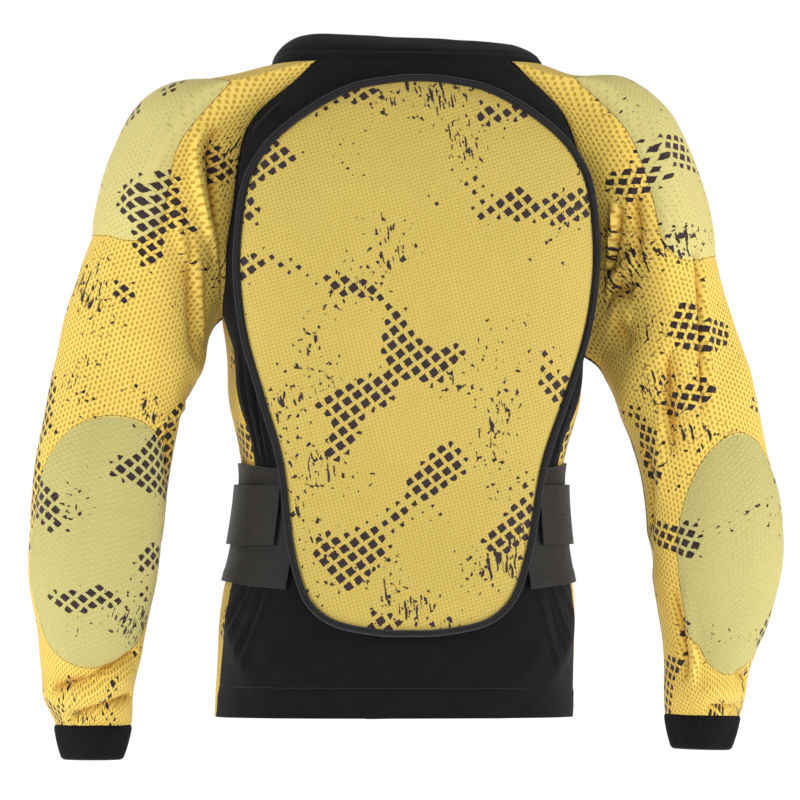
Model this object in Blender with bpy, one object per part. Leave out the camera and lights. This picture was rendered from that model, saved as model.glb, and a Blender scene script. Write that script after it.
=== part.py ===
"""A worn body protector jacket: mesh sleeves, pads, a back protector and a kidney belt.

Metres, +Z up. The wearer faces -Y and +X is the wearer's left. The origin is the middle of the
neck opening, at the height of the collar seam at the back, where the jacket is held up.
"""

import math
from bisect import bisect_right

import bmesh
import bpy
from mathutils import Matrix, Vector

# Cloth and clearances
CLOTH = 0.0020
RIB_CLOTH = 0.0030
GAP = 0.0003
SEAM_GAP = 0.0008
SOFT_CLEARANCE = 0.0016
PLATE_CLEARANCE = 0.0020
SHOULDER_PAD_CLEARANCE = 0.0032
ELBOW_PAD_CLEARANCE = 0.0023

# Torso
BACK_LENGTH = 0.602
CHEST_WIDTH = 0.340
CHEST_DEPTH = 0.226
ROUNDNESS = 2.4
SIDE_LEAN = 0.0138
FRONT_NECK_DROP = 0.050
ARMPIT_DROP = {"left": 0.229, "right": 0.262}
ZIP_WIDTH = 0.012

# Collar and cuffs
COLLAR_HEIGHT = 0.025
COLLAR_TILT = 0.25
COLLAR_TAKE_IN = 0.022
CUFF_HEIGHT = 0.033
CUFF_TAKE_IN = 0.008

# Sleeves
ARM_REACH = 0.349
SLEEVE_DROP = 0.609
SLEEVE_DEPTH = 0.142
ROOT_FADE = 0.42

# Pads
SHOULDER_PAD_RISE = 0.010
ELBOW_PAD_RISE = 0.009
PAD_THICKNESS = 0.012
PAD_EDGE = 0.002

# Back protector
PLATE_TOP = 0.0166
PLATE_LENGTH = 0.511
PLATE_WIDTH = 0.331
PLATE_THICKNESS = 0.014
PLATE_EDGE = 0.007
PLATE_CURL = 0.038
PLATE_CURL_POWER = 2.5
BINDING_WIDTH = 0.0062
BINDING_THICKNESS = 0.0095

# Kidney belt and its outer straps
BELT_TOP = 0.369
BELT_HEIGHT = 0.1085
BELT_DROOP = 0.010
BELT_THICKNESS = 0.0025
BELT_START = 40.0
STRAP_TOP = 0.389
STRAP_HEIGHT = 0.0545
STRAP_START = 48.0
STRAP_END = 152.0

# Mesh fineness
ROUND_SLEEVE = 24
SEAM_ROWS = 10
LOWER_ROWS = 12
SLEEVE_ROWS = 24
SHOULDER_SHARE = 0.6
PLATE_SPOKES = 48
BAND_STEP = 8.0

# Level sections of the body: drop as a share of BACK_LENGTH, half width as a share of
# CHEST_WIDTH / 2, and the depths behind and in front as shares of CHEST_DEPTH / 2.
DROP, HALF_WIDTH, BACK, FRONT = range(4)
BODY_SECTIONS = (
    (0.000, 0.690, 0.620, 0.680),
    (0.033, 0.780, 0.720, 0.750),
    (0.083, 0.930, 0.860, 0.840),
    (0.166, 1.010, 0.965, 0.920),
    (0.266, 1.045, 1.010, 0.980),
    (0.330, 1.030, 1.005, 1.000),
    (0.390, 0.985, 0.985, 1.000),
    (0.446, 0.950, 0.955, 0.990),
    (0.520, 0.936, 0.910, 0.970),
    (0.593, 0.870, 0.860, 0.930),
    (0.641, 0.850, 0.840, 0.920),
    (0.739, 0.885, 0.860, 0.930),
    (0.812, 0.935, 0.910, 0.950),
    (0.887, 0.950, 0.950, 0.960),
    (1.000, 0.955, 0.975, 0.960),
)

# The raglan seams: share of the way from the neck to the armpit, and the angle from the
# middle of the back, in degrees.
BACK_SEAM = {
    "left": (
        (0.00, 44), (0.10, 54), (0.20, 62), (0.28, 66), (0.40, 67),
        (0.58, 67), (0.72, 70), (0.88, 75), (1.00, 90),
    ),
    "right": (
        (0.00, 44), (0.09, 53), (0.17, 56), (0.31, 59), (0.43, 65),
        (0.59, 74), (0.71, 79), (0.85, 82), (1.00, 90),
    ),
}
FRONT_SEAM = ((0.00, 128), (0.30, 112), (0.60, 104), (0.85, 98), (1.00, 90))

# The side seams: share of the way from the armpit to the hem, and the angle in degrees.
SIDE_SEAM = ((0.00, 90), (0.12, 77), (0.35, 71), (0.65, 79), (1.00, 88))

# Rings of the sleeves from the raglan seam to the cuff: the outer and the inner point, sideways
# as shares of ARM_REACH and down as shares of SLEEVE_DROP, then how far the ring stands back
# and its half depth as shares of SLEEVE_DEPTH.
OUT_X, OUT_DROP, IN_X, IN_DROP, BEHIND, HALF_DEPTH = range(6)
SLEEVE_RINGS = {
    "left": (
        (0.340, 0.010, 0.463, 0.376, 0.00, 0.41),
        (0.487, 0.030, 0.487, 0.388, 0.00, 0.47),
        (0.607, 0.046, 0.504, 0.399, 0.01, 0.50),
        (0.699, 0.085, 0.519, 0.411, 0.03, 0.50),
        (0.762, 0.153, 0.530, 0.422, 0.04, 0.49),
        (0.808, 0.230, 0.542, 0.437, 0.05, 0.47),
        (0.854, 0.299, 0.553, 0.455, 0.06, 0.46),
        (0.894, 0.371, 0.564, 0.476, 0.08, 0.45),
        (0.923, 0.440, 0.575, 0.501, 0.09, 0.44),
        (0.957, 0.525, 0.605, 0.545, 0.12, 0.44),
        (0.986, 0.611, 0.630, 0.614, 0.15, 0.43),
        (0.997, 0.706, 0.648, 0.706, 0.15, 0.42),
        (0.999, 0.780, 0.667, 0.780, 0.12, 0.39),
        (0.977, 0.852, 0.693, 0.852, 0.04, 0.35),
        (0.966, 0.903, 0.711, 0.903, -0.05, 0.32),
        (0.960, 0.952, 0.728, 0.952, -0.14, 0.29),
        (0.940, 1.000, 0.733, 1.000, -0.22, 0.25),
    ),
    "right": (
        (0.340, 0.010, 0.463, 0.430, 0.00, 0.41),
        (0.444, 0.030, 0.480, 0.438, 0.00, 0.46),
        (0.559, 0.039, 0.496, 0.446, 0.01, 0.49),
        (0.665, 0.085, 0.510, 0.456, 0.02, 0.49),
        (0.722, 0.141, 0.521, 0.467, 0.03, 0.48),
        (0.768, 0.213, 0.530, 0.480, 0.04, 0.47),
        (0.802, 0.282, 0.542, 0.496, 0.05, 0.46),
        (0.831, 0.358, 0.559, 0.518, 0.06, 0.45),
        (0.862, 0.424, 0.576, 0.545, 0.07, 0.44),
        (0.900, 0.493, 0.596, 0.578, 0.10, 0.44),
        (0.940, 0.578, 0.618, 0.634, 0.13, 0.43),
        (0.977, 0.657, 0.629, 0.690, 0.14, 0.42),
        (0.984, 0.739, 0.636, 0.742, 0.12, 0.40),
        (0.963, 0.805, 0.652, 0.805, 0.05, 0.36),
        (0.931, 0.875, 0.669, 0.877, -0.05, 0.32),
        (0.891, 0.936, 0.675, 0.936, -0.15, 0.29),
        (0.868, 0.988, 0.675, 0.985, -0.22, 0.25),
    ),
}

# The pads under the sleeve mesh: the middle's angle round the sleeve and its ring, then half the
# spread in degrees and in rings.
PAD_ANGLE, PAD_RING, PAD_SPREAD, PAD_RINGS = range(4)
SHOULDER_PADS = {"left": (4, 3.20, 60, 2.30), "right": (4, 3.55, 58, 2.60)}
ELBOW_PADS = {"left": (90, 11.60, 80, 2.60), "right": (66, 12.20, 66, 2.60)}

# Folds of the sleeves: the angle and ring of the middle, the half length in rings, the half width
# in degrees, the turn in degrees for each ring, and the height as a share of SLEEVE_DEPTH.
SLEEVE_FOLDS = {
    "left": (
        (100, 3.4, 2.2, 24, 10, -0.040),
        (148, 6.4, 2.4, 22, -9, 0.035),
        (172, 8.2, 1.6, 24, 14, -0.030),
        (60, 15.2, 0.7, 80, 30, 0.030),
        (205, 11.8, 0.7, 36, 20, -0.030),
    ),
    "right": (
        (122, 4.6, 2.0, 24, -12, -0.040),
        (150, 6.8, 2.2, 22, 10, 0.035),
        (20, 8.4, 2.0, 18, 4, 0.035),
        (70, 15.3, 0.7, 80, -25, 0.030),
        (205, 12.0, 0.7, 36, -20, -0.030),
    ),
}

# Folds of the body cloth: the angle and the share down of the middle, the half length as a share,
# the half width in degrees, the turn in degrees for each whole length, and the height as a share
# of CHEST_DEPTH.
BODY_FOLDS = (
    (71, 0.47, 0.11, 7, 20, 0.014),
    (60, 0.52, 0.07, 7, 30, -0.012),
    (-74, 0.47, 0.11, 7, -20, 0.012),
    (64, 0.90, 0.08, 8, -220, 0.020),
    (40, 0.93, 0.07, 8, -200, 0.014),
    (-62, 0.90, 0.08, 8, 220, 0.020),
    (-38, 0.93, 0.07, 8, 200, 0.014),
)

# Half of the back protector's outline from its top to its bottom: down as a share of
# PLATE_LENGTH and half the width as a share of PLATE_WIDTH / 2.
PLATE_OUTLINE = (
    (0.000, 0.000), (0.003, 0.150), (0.018, 0.377), (0.056, 0.607), (0.099, 0.782),
    (0.142, 0.890), (0.200, 0.965), (0.310, 1.000), (0.400, 0.984), (0.480, 0.938),
    (0.576, 0.848), (0.691, 0.740), (0.834, 0.677), (0.917, 0.610), (0.958, 0.530),
    (0.984, 0.400), (0.998, 0.180), (1.000, 0.000),
)

SIDE_SIGN = {"left": 1, "right": -1}


def signed_power(value, power):
    """A power that keeps the sign of its base."""
    return math.copysign(abs(value) ** power, value)


def blend(first, second, share):
    """The value or point that lies a share of the way from the first to the second."""
    return first + (second - first) * share


def eased(share):
    """A share from 0 to 1 that starts and stops gently."""
    share = min(max(share, 0.0), 1.0)
    return share * share * (3 - 2 * share)


def read(rows, at, column=1):
    """A table's column on a smooth curve through its rows, whose first column is the place."""
    places = [row[0] for row in rows]
    values = [row[column] for row in rows]
    last = len(rows) - 1
    at = min(max(at, places[0]), places[last])
    low = min(max(bisect_right(places, at) - 1, 0), last - 1)

    def slope(k):
        before, after = max(k - 1, 0), min(k + 1, last)
        return (values[after] - values[before]) / (places[after] - places[before])

    span = places[low + 1] - places[low]
    t = (at - places[low]) / span
    start = (1 + 2 * t) * (1 - t) ** 2 * values[low] + t * (1 - t) ** 2 * span * slope(low)
    end = t * t * (3 - 2 * t) * values[low + 1] + t * t * (t - 1) * span * slope(low + 1)
    return start + end


def ring_value(side, ring, column):
    """A column of the sleeve's table at a ring number that may lie between two rows."""
    rows = SLEEVE_RINGS[side]
    numbered = [(number, row[column]) for number, row in enumerate(rows)]
    return read(numbered, ring)


def fold_height(folds, angle, place):
    """How far all folds of a table lift the cloth at an angle in degrees and a place along it."""
    total = 0.0
    for fold_angle, fold_place, half_length, half_width, turn, height in folds:
        along = (place - fold_place) / half_length
        if abs(along) >= 1:
            continue
        off = (angle - fold_angle - turn * (place - fold_place) + 180) % 360 - 180
        total += height * (1 - along * along) ** 2 * math.exp(-((off / half_width) ** 2))
    return total


def neck_drop(angle):
    """How far the collar seam lies below the origin, at an angle from the middle of the back."""
    return FRONT_NECK_DROP * ((1 - math.cos(angle)) / 2) ** 3


def body_point(angle, down, out=0.0):
    """The body cloth's inner surface: angle from the middle of the back, and the share of the way
    from the collar seam to the hem."""
    drop = BACK_LENGTH * down + neck_drop(angle) * (1 - down)
    share = drop / BACK_LENGTH
    facing = BACK if math.cos(angle) > 0 else FRONT
    lift = fold_height(BODY_FOLDS, math.degrees(angle), down) * CHEST_DEPTH
    half = CHEST_WIDTH / 2 * read(BODY_SECTIONS, share, HALF_WIDTH) + out + lift
    depth = CHEST_DEPTH / 2 * read(BODY_SECTIONS, share, facing) + out + lift
    x = half * signed_power(math.sin(angle), 2 / ROUNDNESS) + SIDE_LEAN * share * share
    y = depth * signed_power(math.cos(angle), 2 / ROUNDNESS)
    return Vector((x, y, -drop))


def across_normal(surface, a, b, step_a, step_b):
    """The outward normal of a surface of two values, from short steps to both sides."""
    along_a = surface(a + step_a, b) - surface(a - step_a, b)
    along_b = surface(a, b + step_b) - surface(a, b - step_b)
    return along_a.cross(along_b).normalized()


def body_normal(angle, down):
    """The outward normal of the body cloth."""
    down = min(max(down, 0.002), 0.998)
    normal = across_normal(body_point, angle, down, 0.01, 0.002)
    outward = Vector((math.sin(angle), math.cos(angle), 0))
    return normal if normal.dot(outward) > 0 else -normal


def neck_normal(angle):
    """The way the cloth is thickened where the collar meets the body and the sleeves."""
    return Vector((math.sin(angle), math.cos(angle), 0.6)).normalized()


def armpit_down(side):
    """The armpit's share of the way from the collar seam to the hem."""
    return ARMPIT_DROP[side] / BACK_LENGTH


def seam_angle(side, face, share):
    """The raglan seam's angle at a share of the way from the neck to the armpit."""
    rows = BACK_SEAM[side] if face == "back" else FRONT_SEAM
    return SIDE_SIGN[side] * math.radians(read(rows, share))


SEAM_START = 30.0


def root_point(side, turn):
    """The raglan seam as a closed loop. turn runs in degrees from the shoulder, back and down."""
    turn %= 360
    face = "back" if turn <= 180 else "front"
    near = turn if turn <= 180 else 360 - turn
    corner = seam_angle(side, face, 0)
    if near < SEAM_START:
        angle = blend(SIDE_SIGN[side] * math.pi / 2, corner, near / SEAM_START)
        return body_point(angle, 0), angle, 0.0
    share = (near - SEAM_START) / (180 - SEAM_START)
    angle = seam_angle(side, face, share)
    down = share * armpit_down(side)
    return body_point(angle, down), angle, down


def ring_point(side, turn, ring):
    """The plain tube that the sleeve follows, and its outward direction there."""
    sign = SIDE_SIGN[side]
    outer = Vector((
        sign * ARM_REACH * ring_value(side, ring, OUT_X), 0,
        -SLEEVE_DROP * ring_value(side, ring, OUT_DROP)))
    inner = Vector((
        sign * ARM_REACH * ring_value(side, ring, IN_X), 0,
        -SLEEVE_DROP * ring_value(side, ring, IN_DROP)))
    half = (outer - inner) / 2
    depth = SLEEVE_DEPTH * ring_value(side, ring, HALF_DEPTH)
    c, s = math.cos(math.radians(turn)), math.sin(math.radians(turn))
    middle = (outer + inner) / 2 + Vector((0, SLEEVE_DEPTH * ring_value(side, ring, BEHIND), 0))
    point = middle + half * c + Vector((0, depth * s, 0))
    outward = half.normalized() * c * depth + Vector((0, half.length * s, 0))
    return point, outward.normalized()


def pad_reach(pad, turn, ring):
    """The distance from a pad's middle, 1 on its outline."""
    off = (turn - pad[PAD_ANGLE] + 180) % 360 - 180
    return math.hypot(off / pad[PAD_SPREAD], (ring - pad[PAD_RING]) / pad[PAD_RINGS])


def pad_lift(side, turn, ring):
    """How far the pads push the sleeve mesh out."""
    total = 0.0
    for pads, rise in ((SHOULDER_PADS, SHOULDER_PAD_RISE), (ELBOW_PADS, ELBOW_PAD_RISE)):
        reach = pad_reach(pads[side], turn, ring)
        if reach < 1:
            total += rise * (1 - reach ** 3) ** 1.5
    return total


def last_ring(side):
    """The number of the sleeve's last ring."""
    return len(SLEEVE_RINGS[side]) - 1


def sleeve_point(side, turn, ring):
    """The sleeve cloth's inner surface."""
    plain, outward = ring_point(side, turn, ring)
    pull = 1 - eased(ring / (ROOT_FADE * last_ring(side)))
    if pull > 0:
        plain += (root_point(side, turn)[0] - ring_point(side, turn, 0)[0]) * pull
    fold = fold_height(SLEEVE_FOLDS[side], turn, ring) * SLEEVE_DEPTH
    return plain + outward * ((pad_lift(side, turn, ring) + fold) * eased(ring))


def sleeve_normal(side, turn, ring):
    """The outward normal of the sleeve cloth."""
    ring = min(max(ring, 0.05), last_ring(side) - 0.05)
    normal = across_normal(lambda a, b: sleeve_point(side, a, b), turn, ring, 1.0, 0.04)
    return normal if normal.dot(ring_point(side, turn, ring)[1]) > 0 else -normal


def seam_normal(side, turn):
    """The way the cloth is thickened on both sides of the raglan seam."""
    near = turn % 360 if turn % 360 <= 180 else 360 - turn % 360
    point, angle, down = root_point(side, turn)
    if near <= SEAM_START:
        return neck_normal(angle)
    return (body_normal(angle, down) + sleeve_normal(side, turn, 0)).normalized()


def cloth_template(across, along, shape):
    """A thin wall made of unit cloth: u across, v along and w through it. Its shape is an open
    panel, a tube closed in u, or a disc closed in u whose middle is at v = 0."""
    bm = bmesh.new()
    bmesh.ops.create_grid(bm, x_segments=across, y_segments=along, size=0.5)
    u, v, w = (bm.verts.layers.float.new(name) for name in "uvw")
    for vert in bm.verts:
        vert[u], vert[v] = vert.co.x + 0.5, vert.co.y + 0.5
        turn = Matrix.Rotation(2 * math.pi * vert[u], 4, "Z")
        if shape == "tube":
            vert.co = turn @ Vector((1, 0, vert[v]))
        elif shape == "disc":
            vert.co = turn @ Vector((vert[v], 0, 0))
    bmesh.ops.remove_doubles(bm, verts=bm.verts, dist=0.0001)
    thick = bmesh.ops.extrude_face_region(bm, geom=bm.faces[:])
    for item in thick["geom"]:
        if isinstance(item, bmesh.types.BMVert):
            item[w] = 1.0
    return bm, (u, v, w)


def material(name, colour, roughness):
    """A plain cloth material."""
    made = bpy.data.materials.new(name)
    made.use_nodes = True
    shader = made.node_tree.nodes["Principled BSDF"]
    shader.inputs["Base Color"].default_value = (*colour, 1)
    shader.inputs["Roughness"].default_value = roughness
    shader.inputs["Metallic"].default_value = 0
    made.diffuse_color = (*colour, 1)
    return made


def keep(name, bm, colour, roughness):
    """Turns a finished bmesh into a named object with its own material."""
    bmesh.ops.recalc_face_normals(bm, faces=bm.faces)
    if bm.calc_volume(signed=True) < 0:
        bmesh.ops.reverse_faces(bm, faces=bm.faces)
    mesh = bpy.data.meshes.new(name)
    bm.to_mesh(mesh)
    bm.free()
    mesh.shade_smooth()
    mesh.set_sharp_from_angle(angle=math.radians(50))
    mesh.materials.append(material(name, colour, roughness))
    made = bpy.data.objects.new(name, mesh)
    bpy.context.scene.collection.objects.link(made)
    return made


def sew(name, place, across, along, colour, shape="panel", roughness=0.85):
    """Bends a wall of unit cloth with place(u, v, w) and keeps it as an object."""
    bm, (u, v, w) = cloth_template(across, along, shape)
    for vert in bm.verts:
        vert.co = place(vert[u], vert[v], vert[w])
    return keep(name, bm, colour, roughness)


YELLOW = (0.90, 0.62, 0.07)
PALE_YELLOW = (0.78, 0.66, 0.16)
BLACK = (0.012, 0.011, 0.012)
CHARCOAL = (0.045, 0.043, 0.042)


def rows_down(side, row):
    """The share down at a row of a body panel, whose rows meet the armpit in step with the
    sleeve, and the share of the raglan seam there, or None below the armpit."""
    at = row * (SEAM_ROWS + LOWER_ROWS) / SEAM_ROWS
    if at <= 1.0001:
        return at * armpit_down(side), min(at, 1.0)
    below = (row * (SEAM_ROWS + LOWER_ROWS) - SEAM_ROWS) / LOWER_ROWS
    return blend(armpit_down(side), 1.0, below), None


def panel_edge(side, face, row):
    """A body panel's angle at its edge, its share down and its thickening direction there."""
    down, share = rows_down(side, row)
    if share is None:
        lower = (down - armpit_down(side)) / (1 - armpit_down(side))
        angle = SIDE_SIGN[side] * math.radians(read(SIDE_SEAM, lower))
        return angle, down, body_normal(angle, down)
    angle = seam_angle(side, face, share)
    turn = blend(SEAM_START, 180, share)
    return angle, down, seam_normal(side, turn if face == "back" else 360 - turn)


def seam_inset(angle_sign):
    """The angle by which a panel stays back from its seam."""
    return angle_sign * SEAM_GAP / CHEST_WIDTH


def back_panel():
    """The black yoke, sides and lower back, from seam to seam."""

    def place(u, v, w):
        row = 1 - v
        edges = {side: panel_edge(side, "back", row) for side in SIDE_SIGN}
        low = edges["right"][0] + seam_inset(1)
        high = edges["left"][0] + seam_inset(-1)
        angle = blend(low, high, u)
        down = blend(edges["right"][1], edges["left"][1], u)
        if row < 1e-6:
            normal = neck_normal(angle)
            down = GAP / BACK_LENGTH
        elif u < 1e-6 or u > 1 - 1e-6:
            normal = edges["left" if u > 0.5 else "right"][2]
        else:
            normal = body_normal(angle, down)
        return body_point(angle, down) + normal * (CLOTH * w)

    sew("back_panel", place, 12, SEAM_ROWS + LOWER_ROWS, BLACK)


def zip_angle():
    """Half of the angle that the zip takes at the front."""
    return math.asin((ZIP_WIDTH / CHEST_WIDTH) ** (ROUNDNESS / 2))


def front_panel(side):
    """The mesh panel from the raglan and side seams to the zip."""
    sign = SIDE_SIGN[side]

    def place(u, v, w):
        row = 1 - v
        edge, down, normal = panel_edge(side, "front", row)
        angle = blend(edge + seam_inset(sign), sign * (math.pi - zip_angle()), u)
        if row < 1e-6:
            normal = neck_normal(angle)
            down = GAP / BACK_LENGTH
        elif u > 1e-6:
            normal = body_normal(angle, down)
        return body_point(angle, down) + normal * (CLOTH * w)

    sew(f"front_panel_{side}", place, 5, SEAM_ROWS + LOWER_ROWS, YELLOW)


def front_zip():
    """The closed zip between the front panels, as one plain strip."""

    def place(u, v, w):
        half = zip_angle() - 2 * seam_inset(1)
        angle = math.pi + blend(-half, half, u)
        down = blend(GAP / BACK_LENGTH, 1.0, 1 - v)
        normal = neck_normal(angle) if v > 1 - 1e-6 else body_normal(angle, down)
        return body_point(angle, down) + normal * (CLOTH * w)

    sew("front_zip", place, 1, SEAM_ROWS + LOWER_ROWS, CHARCOAL, roughness=0.5)


def sleeve(side):
    """The raglan sleeve, from its seam on the body to the cuff."""

    def place(u, v, w):
        turn = 360 * u
        start = SEAM_GAP / (ARM_REACH / last_ring(side))
        middle = last_ring(side) / 2
        if v < SHOULDER_SHARE:
            ring = blend(start, middle, v / SHOULDER_SHARE)
        else:
            ring = blend(middle, last_ring(side), (v - SHOULDER_SHARE) / (1 - SHOULDER_SHARE))
        point = sleeve_point(side, turn, ring)
        normal = seam_normal(side, turn) if v < 1e-6 else sleeve_normal(side, turn, ring)
        return point + normal * (CLOTH * w)

    sew(f"sleeve_{side}", place, ROUND_SLEEVE, SLEEVE_ROWS, YELLOW, "tube")


def cuff(side):
    """The rib cuff that carries the sleeve's end on."""
    end = last_ring(side)

    def place(u, v, w):
        turn = 360 * u
        point = sleeve_point(side, turn, end)
        outward = ring_point(side, turn, end)[1]
        down = Vector((0, -0.25, -1)).normalized() * (GAP + CUFF_HEIGHT * v)
        swell = 0.12 * math.sin(math.pi * v)
        taken = CUFF_TAKE_IN * (v - swell)
        normal = sleeve_normal(side, turn, end) if v < 1e-6 else outward
        return point + down - outward * taken + normal * (RIB_CLOTH * w)

    sew(f"cuff_{side}", place, 16, 2, BLACK, "tube")


def pad(name, side, row, clearance):
    """A pad of foam close under the sleeve mesh, thin at its edge."""

    def place(u, v, w):
        spoke = 2 * math.pi * u
        turn = row[PAD_ANGLE] + row[PAD_SPREAD] * v * math.cos(spoke)
        ring = row[PAD_RING] + row[PAD_RINGS] * v * math.sin(spoke)
        thick = PAD_EDGE + (PAD_THICKNESS - PAD_EDGE) * (1 - v * v) ** 0.7
        inset = clearance + thick * (1 - w)
        return sleeve_point(side, turn, ring) - sleeve_normal(side, turn, ring) * inset

    sew(name, place, 20, 3, PALE_YELLOW, "disc")


def collar():
    """The jersey band round the neck opening."""

    def place(u, v, w):
        angle = 2 * math.pi * u
        base = body_point(angle, 0) + Vector((0, 0, SEAM_GAP))
        height = COLLAR_HEIGHT * (1 + COLLAR_TILT * math.sin(angle))
        inward = Vector((-math.sin(angle), -math.cos(angle), 0))
        lean = COLLAR_TAKE_IN * (v ** 1.6)
        point = base + inward * lean + Vector((0, 0, height * math.sin(v * math.pi / 2)))
        normal = neck_normal(angle) if v < 0.9 else Vector((0, 0, 1)) - inward * 0.5
        return point + normal.normalized() * (RIB_CLOTH * w)

    sew("collar", place, 30, 3, BLACK, "tube")


def plate_outline(share, inset=0.0):
    """The back protector's outline, sideways and down, at a share of the way round from its
    top. It is moved inwards by the inset."""
    half = len(PLATE_OUTLINE) - 1

    def corner(number):
        number %= 2 * half
        row = PLATE_OUTLINE[number if number <= half else 2 * half - number]
        side = 1 if number <= half else -1
        return Vector((side * row[1] * PLATE_WIDTH / 2, row[0] * PLATE_LENGTH))

    def at(place):
        low = math.floor(place)
        t = place - low
        before, start, end, after = (corner(low + k) for k in (-1, 0, 1, 2))
        return (
            start + (end - before) * (t / 2)
            + (before * 2 - start * 5 + end * 4 - after) * (t * t / 2)
            + (start * 3 - before - end * 3 + after) * (t ** 3 / 2)
        )

    place = share * 2 * half
    point = at(place)
    if inset == 0:
        return point
    ahead = at(place + 0.02) - at(place - 0.02)
    inward = Vector((-ahead.y, ahead.x)).normalized()
    middle = Vector((0, PLATE_LENGTH / 2))
    if inward.dot(middle - point) < 0:
        inward = -inward
    return point + inward * inset


def plate_surface(x, down):
    """The back protector's inner face at a place sideways and down from the plate's top."""
    drop = PLATE_TOP + down
    share = drop / BACK_LENGTH
    spine = CHEST_DEPTH / 2 * read(BODY_SECTIONS, share, BACK) + CLOTH + PLATE_CLEARANCE
    curl = PLATE_CURL * (abs(x) / (PLATE_WIDTH / 2)) ** PLATE_CURL_POWER
    return Vector((x + SIDE_LEAN * share * share, spine - curl, -drop))


def plate_normal(x, down):
    """The direction out of the back protector's face."""
    normal = across_normal(plate_surface, x, down, 0.002, 0.004)
    return normal if normal.y > 0 else -normal


def plate_thickness(share):
    """The back protector's thickness at a share of the way from its middle to its edge."""
    return PLATE_EDGE + (PLATE_THICKNESS - PLATE_EDGE) * (1 - share ** 4)


def back_protector():
    """The padded plate inside the binding."""
    middle = Vector((0, PLATE_LENGTH / 2))

    def place(u, v, w):
        edge = plate_outline(u, BINDING_WIDTH + GAP)
        flat = blend(middle, edge, v)
        point = plate_surface(flat.x, flat.y)
        return point + plate_normal(flat.x, flat.y) * (plate_thickness(v) * w)

    sew("back_protector", place, PLATE_SPOKES, 7, PALE_YELLOW, "disc")


def back_binding():
    """The tape folded round the back protector's edge, as one closed ring."""
    bm = bmesh.new()
    bmesh.ops.create_grid(bm, x_segments=PLATE_SPOKES, y_segments=6, size=0.5)
    u, v = (bm.verts.layers.float.new(name) for name in "uv")
    for vert in bm.verts:
        vert[u], vert[v] = vert.co.x + 0.5, vert.co.y + 0.5
        section = Matrix.Rotation(2 * math.pi * vert[v], 4, "Y") @ Vector((0.3, 0, 0))
        vert.co = Matrix.Rotation(2 * math.pi * vert[u], 4, "Z") @ (Vector((1, 0, 0)) + section)
    bmesh.ops.remove_doubles(bm, verts=bm.verts, dist=0.0001)
    for vert in bm.verts:
        turn = 2 * math.pi * vert[v]
        across = signed_power(math.cos(turn), 0.5) * BINDING_WIDTH / 2
        through = signed_power(math.sin(turn), 0.5) * BINDING_THICKNESS / 2
        flat = plate_outline(vert[u], BINDING_WIDTH / 2 + across)
        point = plate_surface(flat.x, flat.y)
        normal = plate_normal(flat.x, flat.y)
        vert.co = point + normal * (BINDING_THICKNESS / 2 + through)
    keep("back_binding", bm, BLACK, 0.8)


def band(name, start, end, top, height, droop, inner, rows, colour):
    """A flat elastic band round the body between two angles in degrees. Its ends hang lower by
    the droop, and inner is how far its inner face stands off the body cloth's inner surface."""

    def place(u, v, w):
        angle = math.radians(blend(start, end, u))
        back = max(math.cos(angle), 0.0) ** 1.5
        drop = top + droop * back + height * (1 - v)
        down = (drop - neck_drop(angle)) / (BACK_LENGTH - neck_drop(angle))
        return body_point(angle, down, inner + BELT_THICKNESS * w)

    sew(name, place, round(abs(end - start) / BAND_STEP), rows, colour, roughness=0.7)


def kidney_belt():
    """The wide band, which runs round the front from one edge of the plate to the other."""
    off = CLOTH + SOFT_CLEARANCE
    band(
        "kidney_belt", BELT_START, 360 - BELT_START, BELT_TOP, BELT_HEIGHT, BELT_DROOP,
        off, 3, CHARCOAL)


def belt_strap(side):
    """The narrower strap that tightens the belt on one side."""
    sign = SIDE_SIGN[side]
    off = CLOTH + SOFT_CLEARANCE * 2 + BELT_THICKNESS
    band(
        f"belt_strap_{side}", sign * STRAP_START, sign * STRAP_END, STRAP_TOP, STRAP_HEIGHT,
        0.0, off, 2, CHARCOAL)


def main():
    for old in list(bpy.data.objects):
        bpy.data.objects.remove(old, do_unlink=True)
    back_panel()
    front_zip()
    collar()
    back_protector()
    back_binding()
    kidney_belt()
    for side in SIDE_SIGN:
        front_panel(side)
        sleeve(side)
        cuff(side)
        pad(f"shoulder_pad_{side}", side, SHOULDER_PADS[side], SHOULDER_PAD_CLEARANCE)
        pad(f"elbow_pad_{side}", side, ELBOW_PADS[side], ELBOW_PAD_CLEARANCE)
        belt_strap(side)


main()
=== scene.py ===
"""Finish of a worn body protector jacket: sewn mesh, jersey, elastic, foam and stitching.

Metres, +Z up. The wearer faces -Y and +X is the wearer's left. The origin is the middle of the
neck opening at the collar seam.
"""

import functools
import math

import bmesh
import bpy
import numpy as np
from bpy.props import FloatProperty, FloatVectorProperty, PointerProperty
from mathutils import Matrix, Vector, noise


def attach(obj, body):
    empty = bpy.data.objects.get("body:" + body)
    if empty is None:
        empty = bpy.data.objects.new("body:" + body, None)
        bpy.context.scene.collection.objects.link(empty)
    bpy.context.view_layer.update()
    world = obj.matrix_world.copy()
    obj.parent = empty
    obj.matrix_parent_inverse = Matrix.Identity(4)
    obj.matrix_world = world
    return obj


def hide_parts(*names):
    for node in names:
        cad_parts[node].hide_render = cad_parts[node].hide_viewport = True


bl_info = {
    "name": "Body protector jacket",
    "version": (1, 0, 0),
    "blender": (4, 5, 0),
    "location": "3D View > Sidebar > Protector",
    "description": "Sews the mesh, jersey, elastic and foam of a body protector jacket",
    "category": "Object",
}

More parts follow.
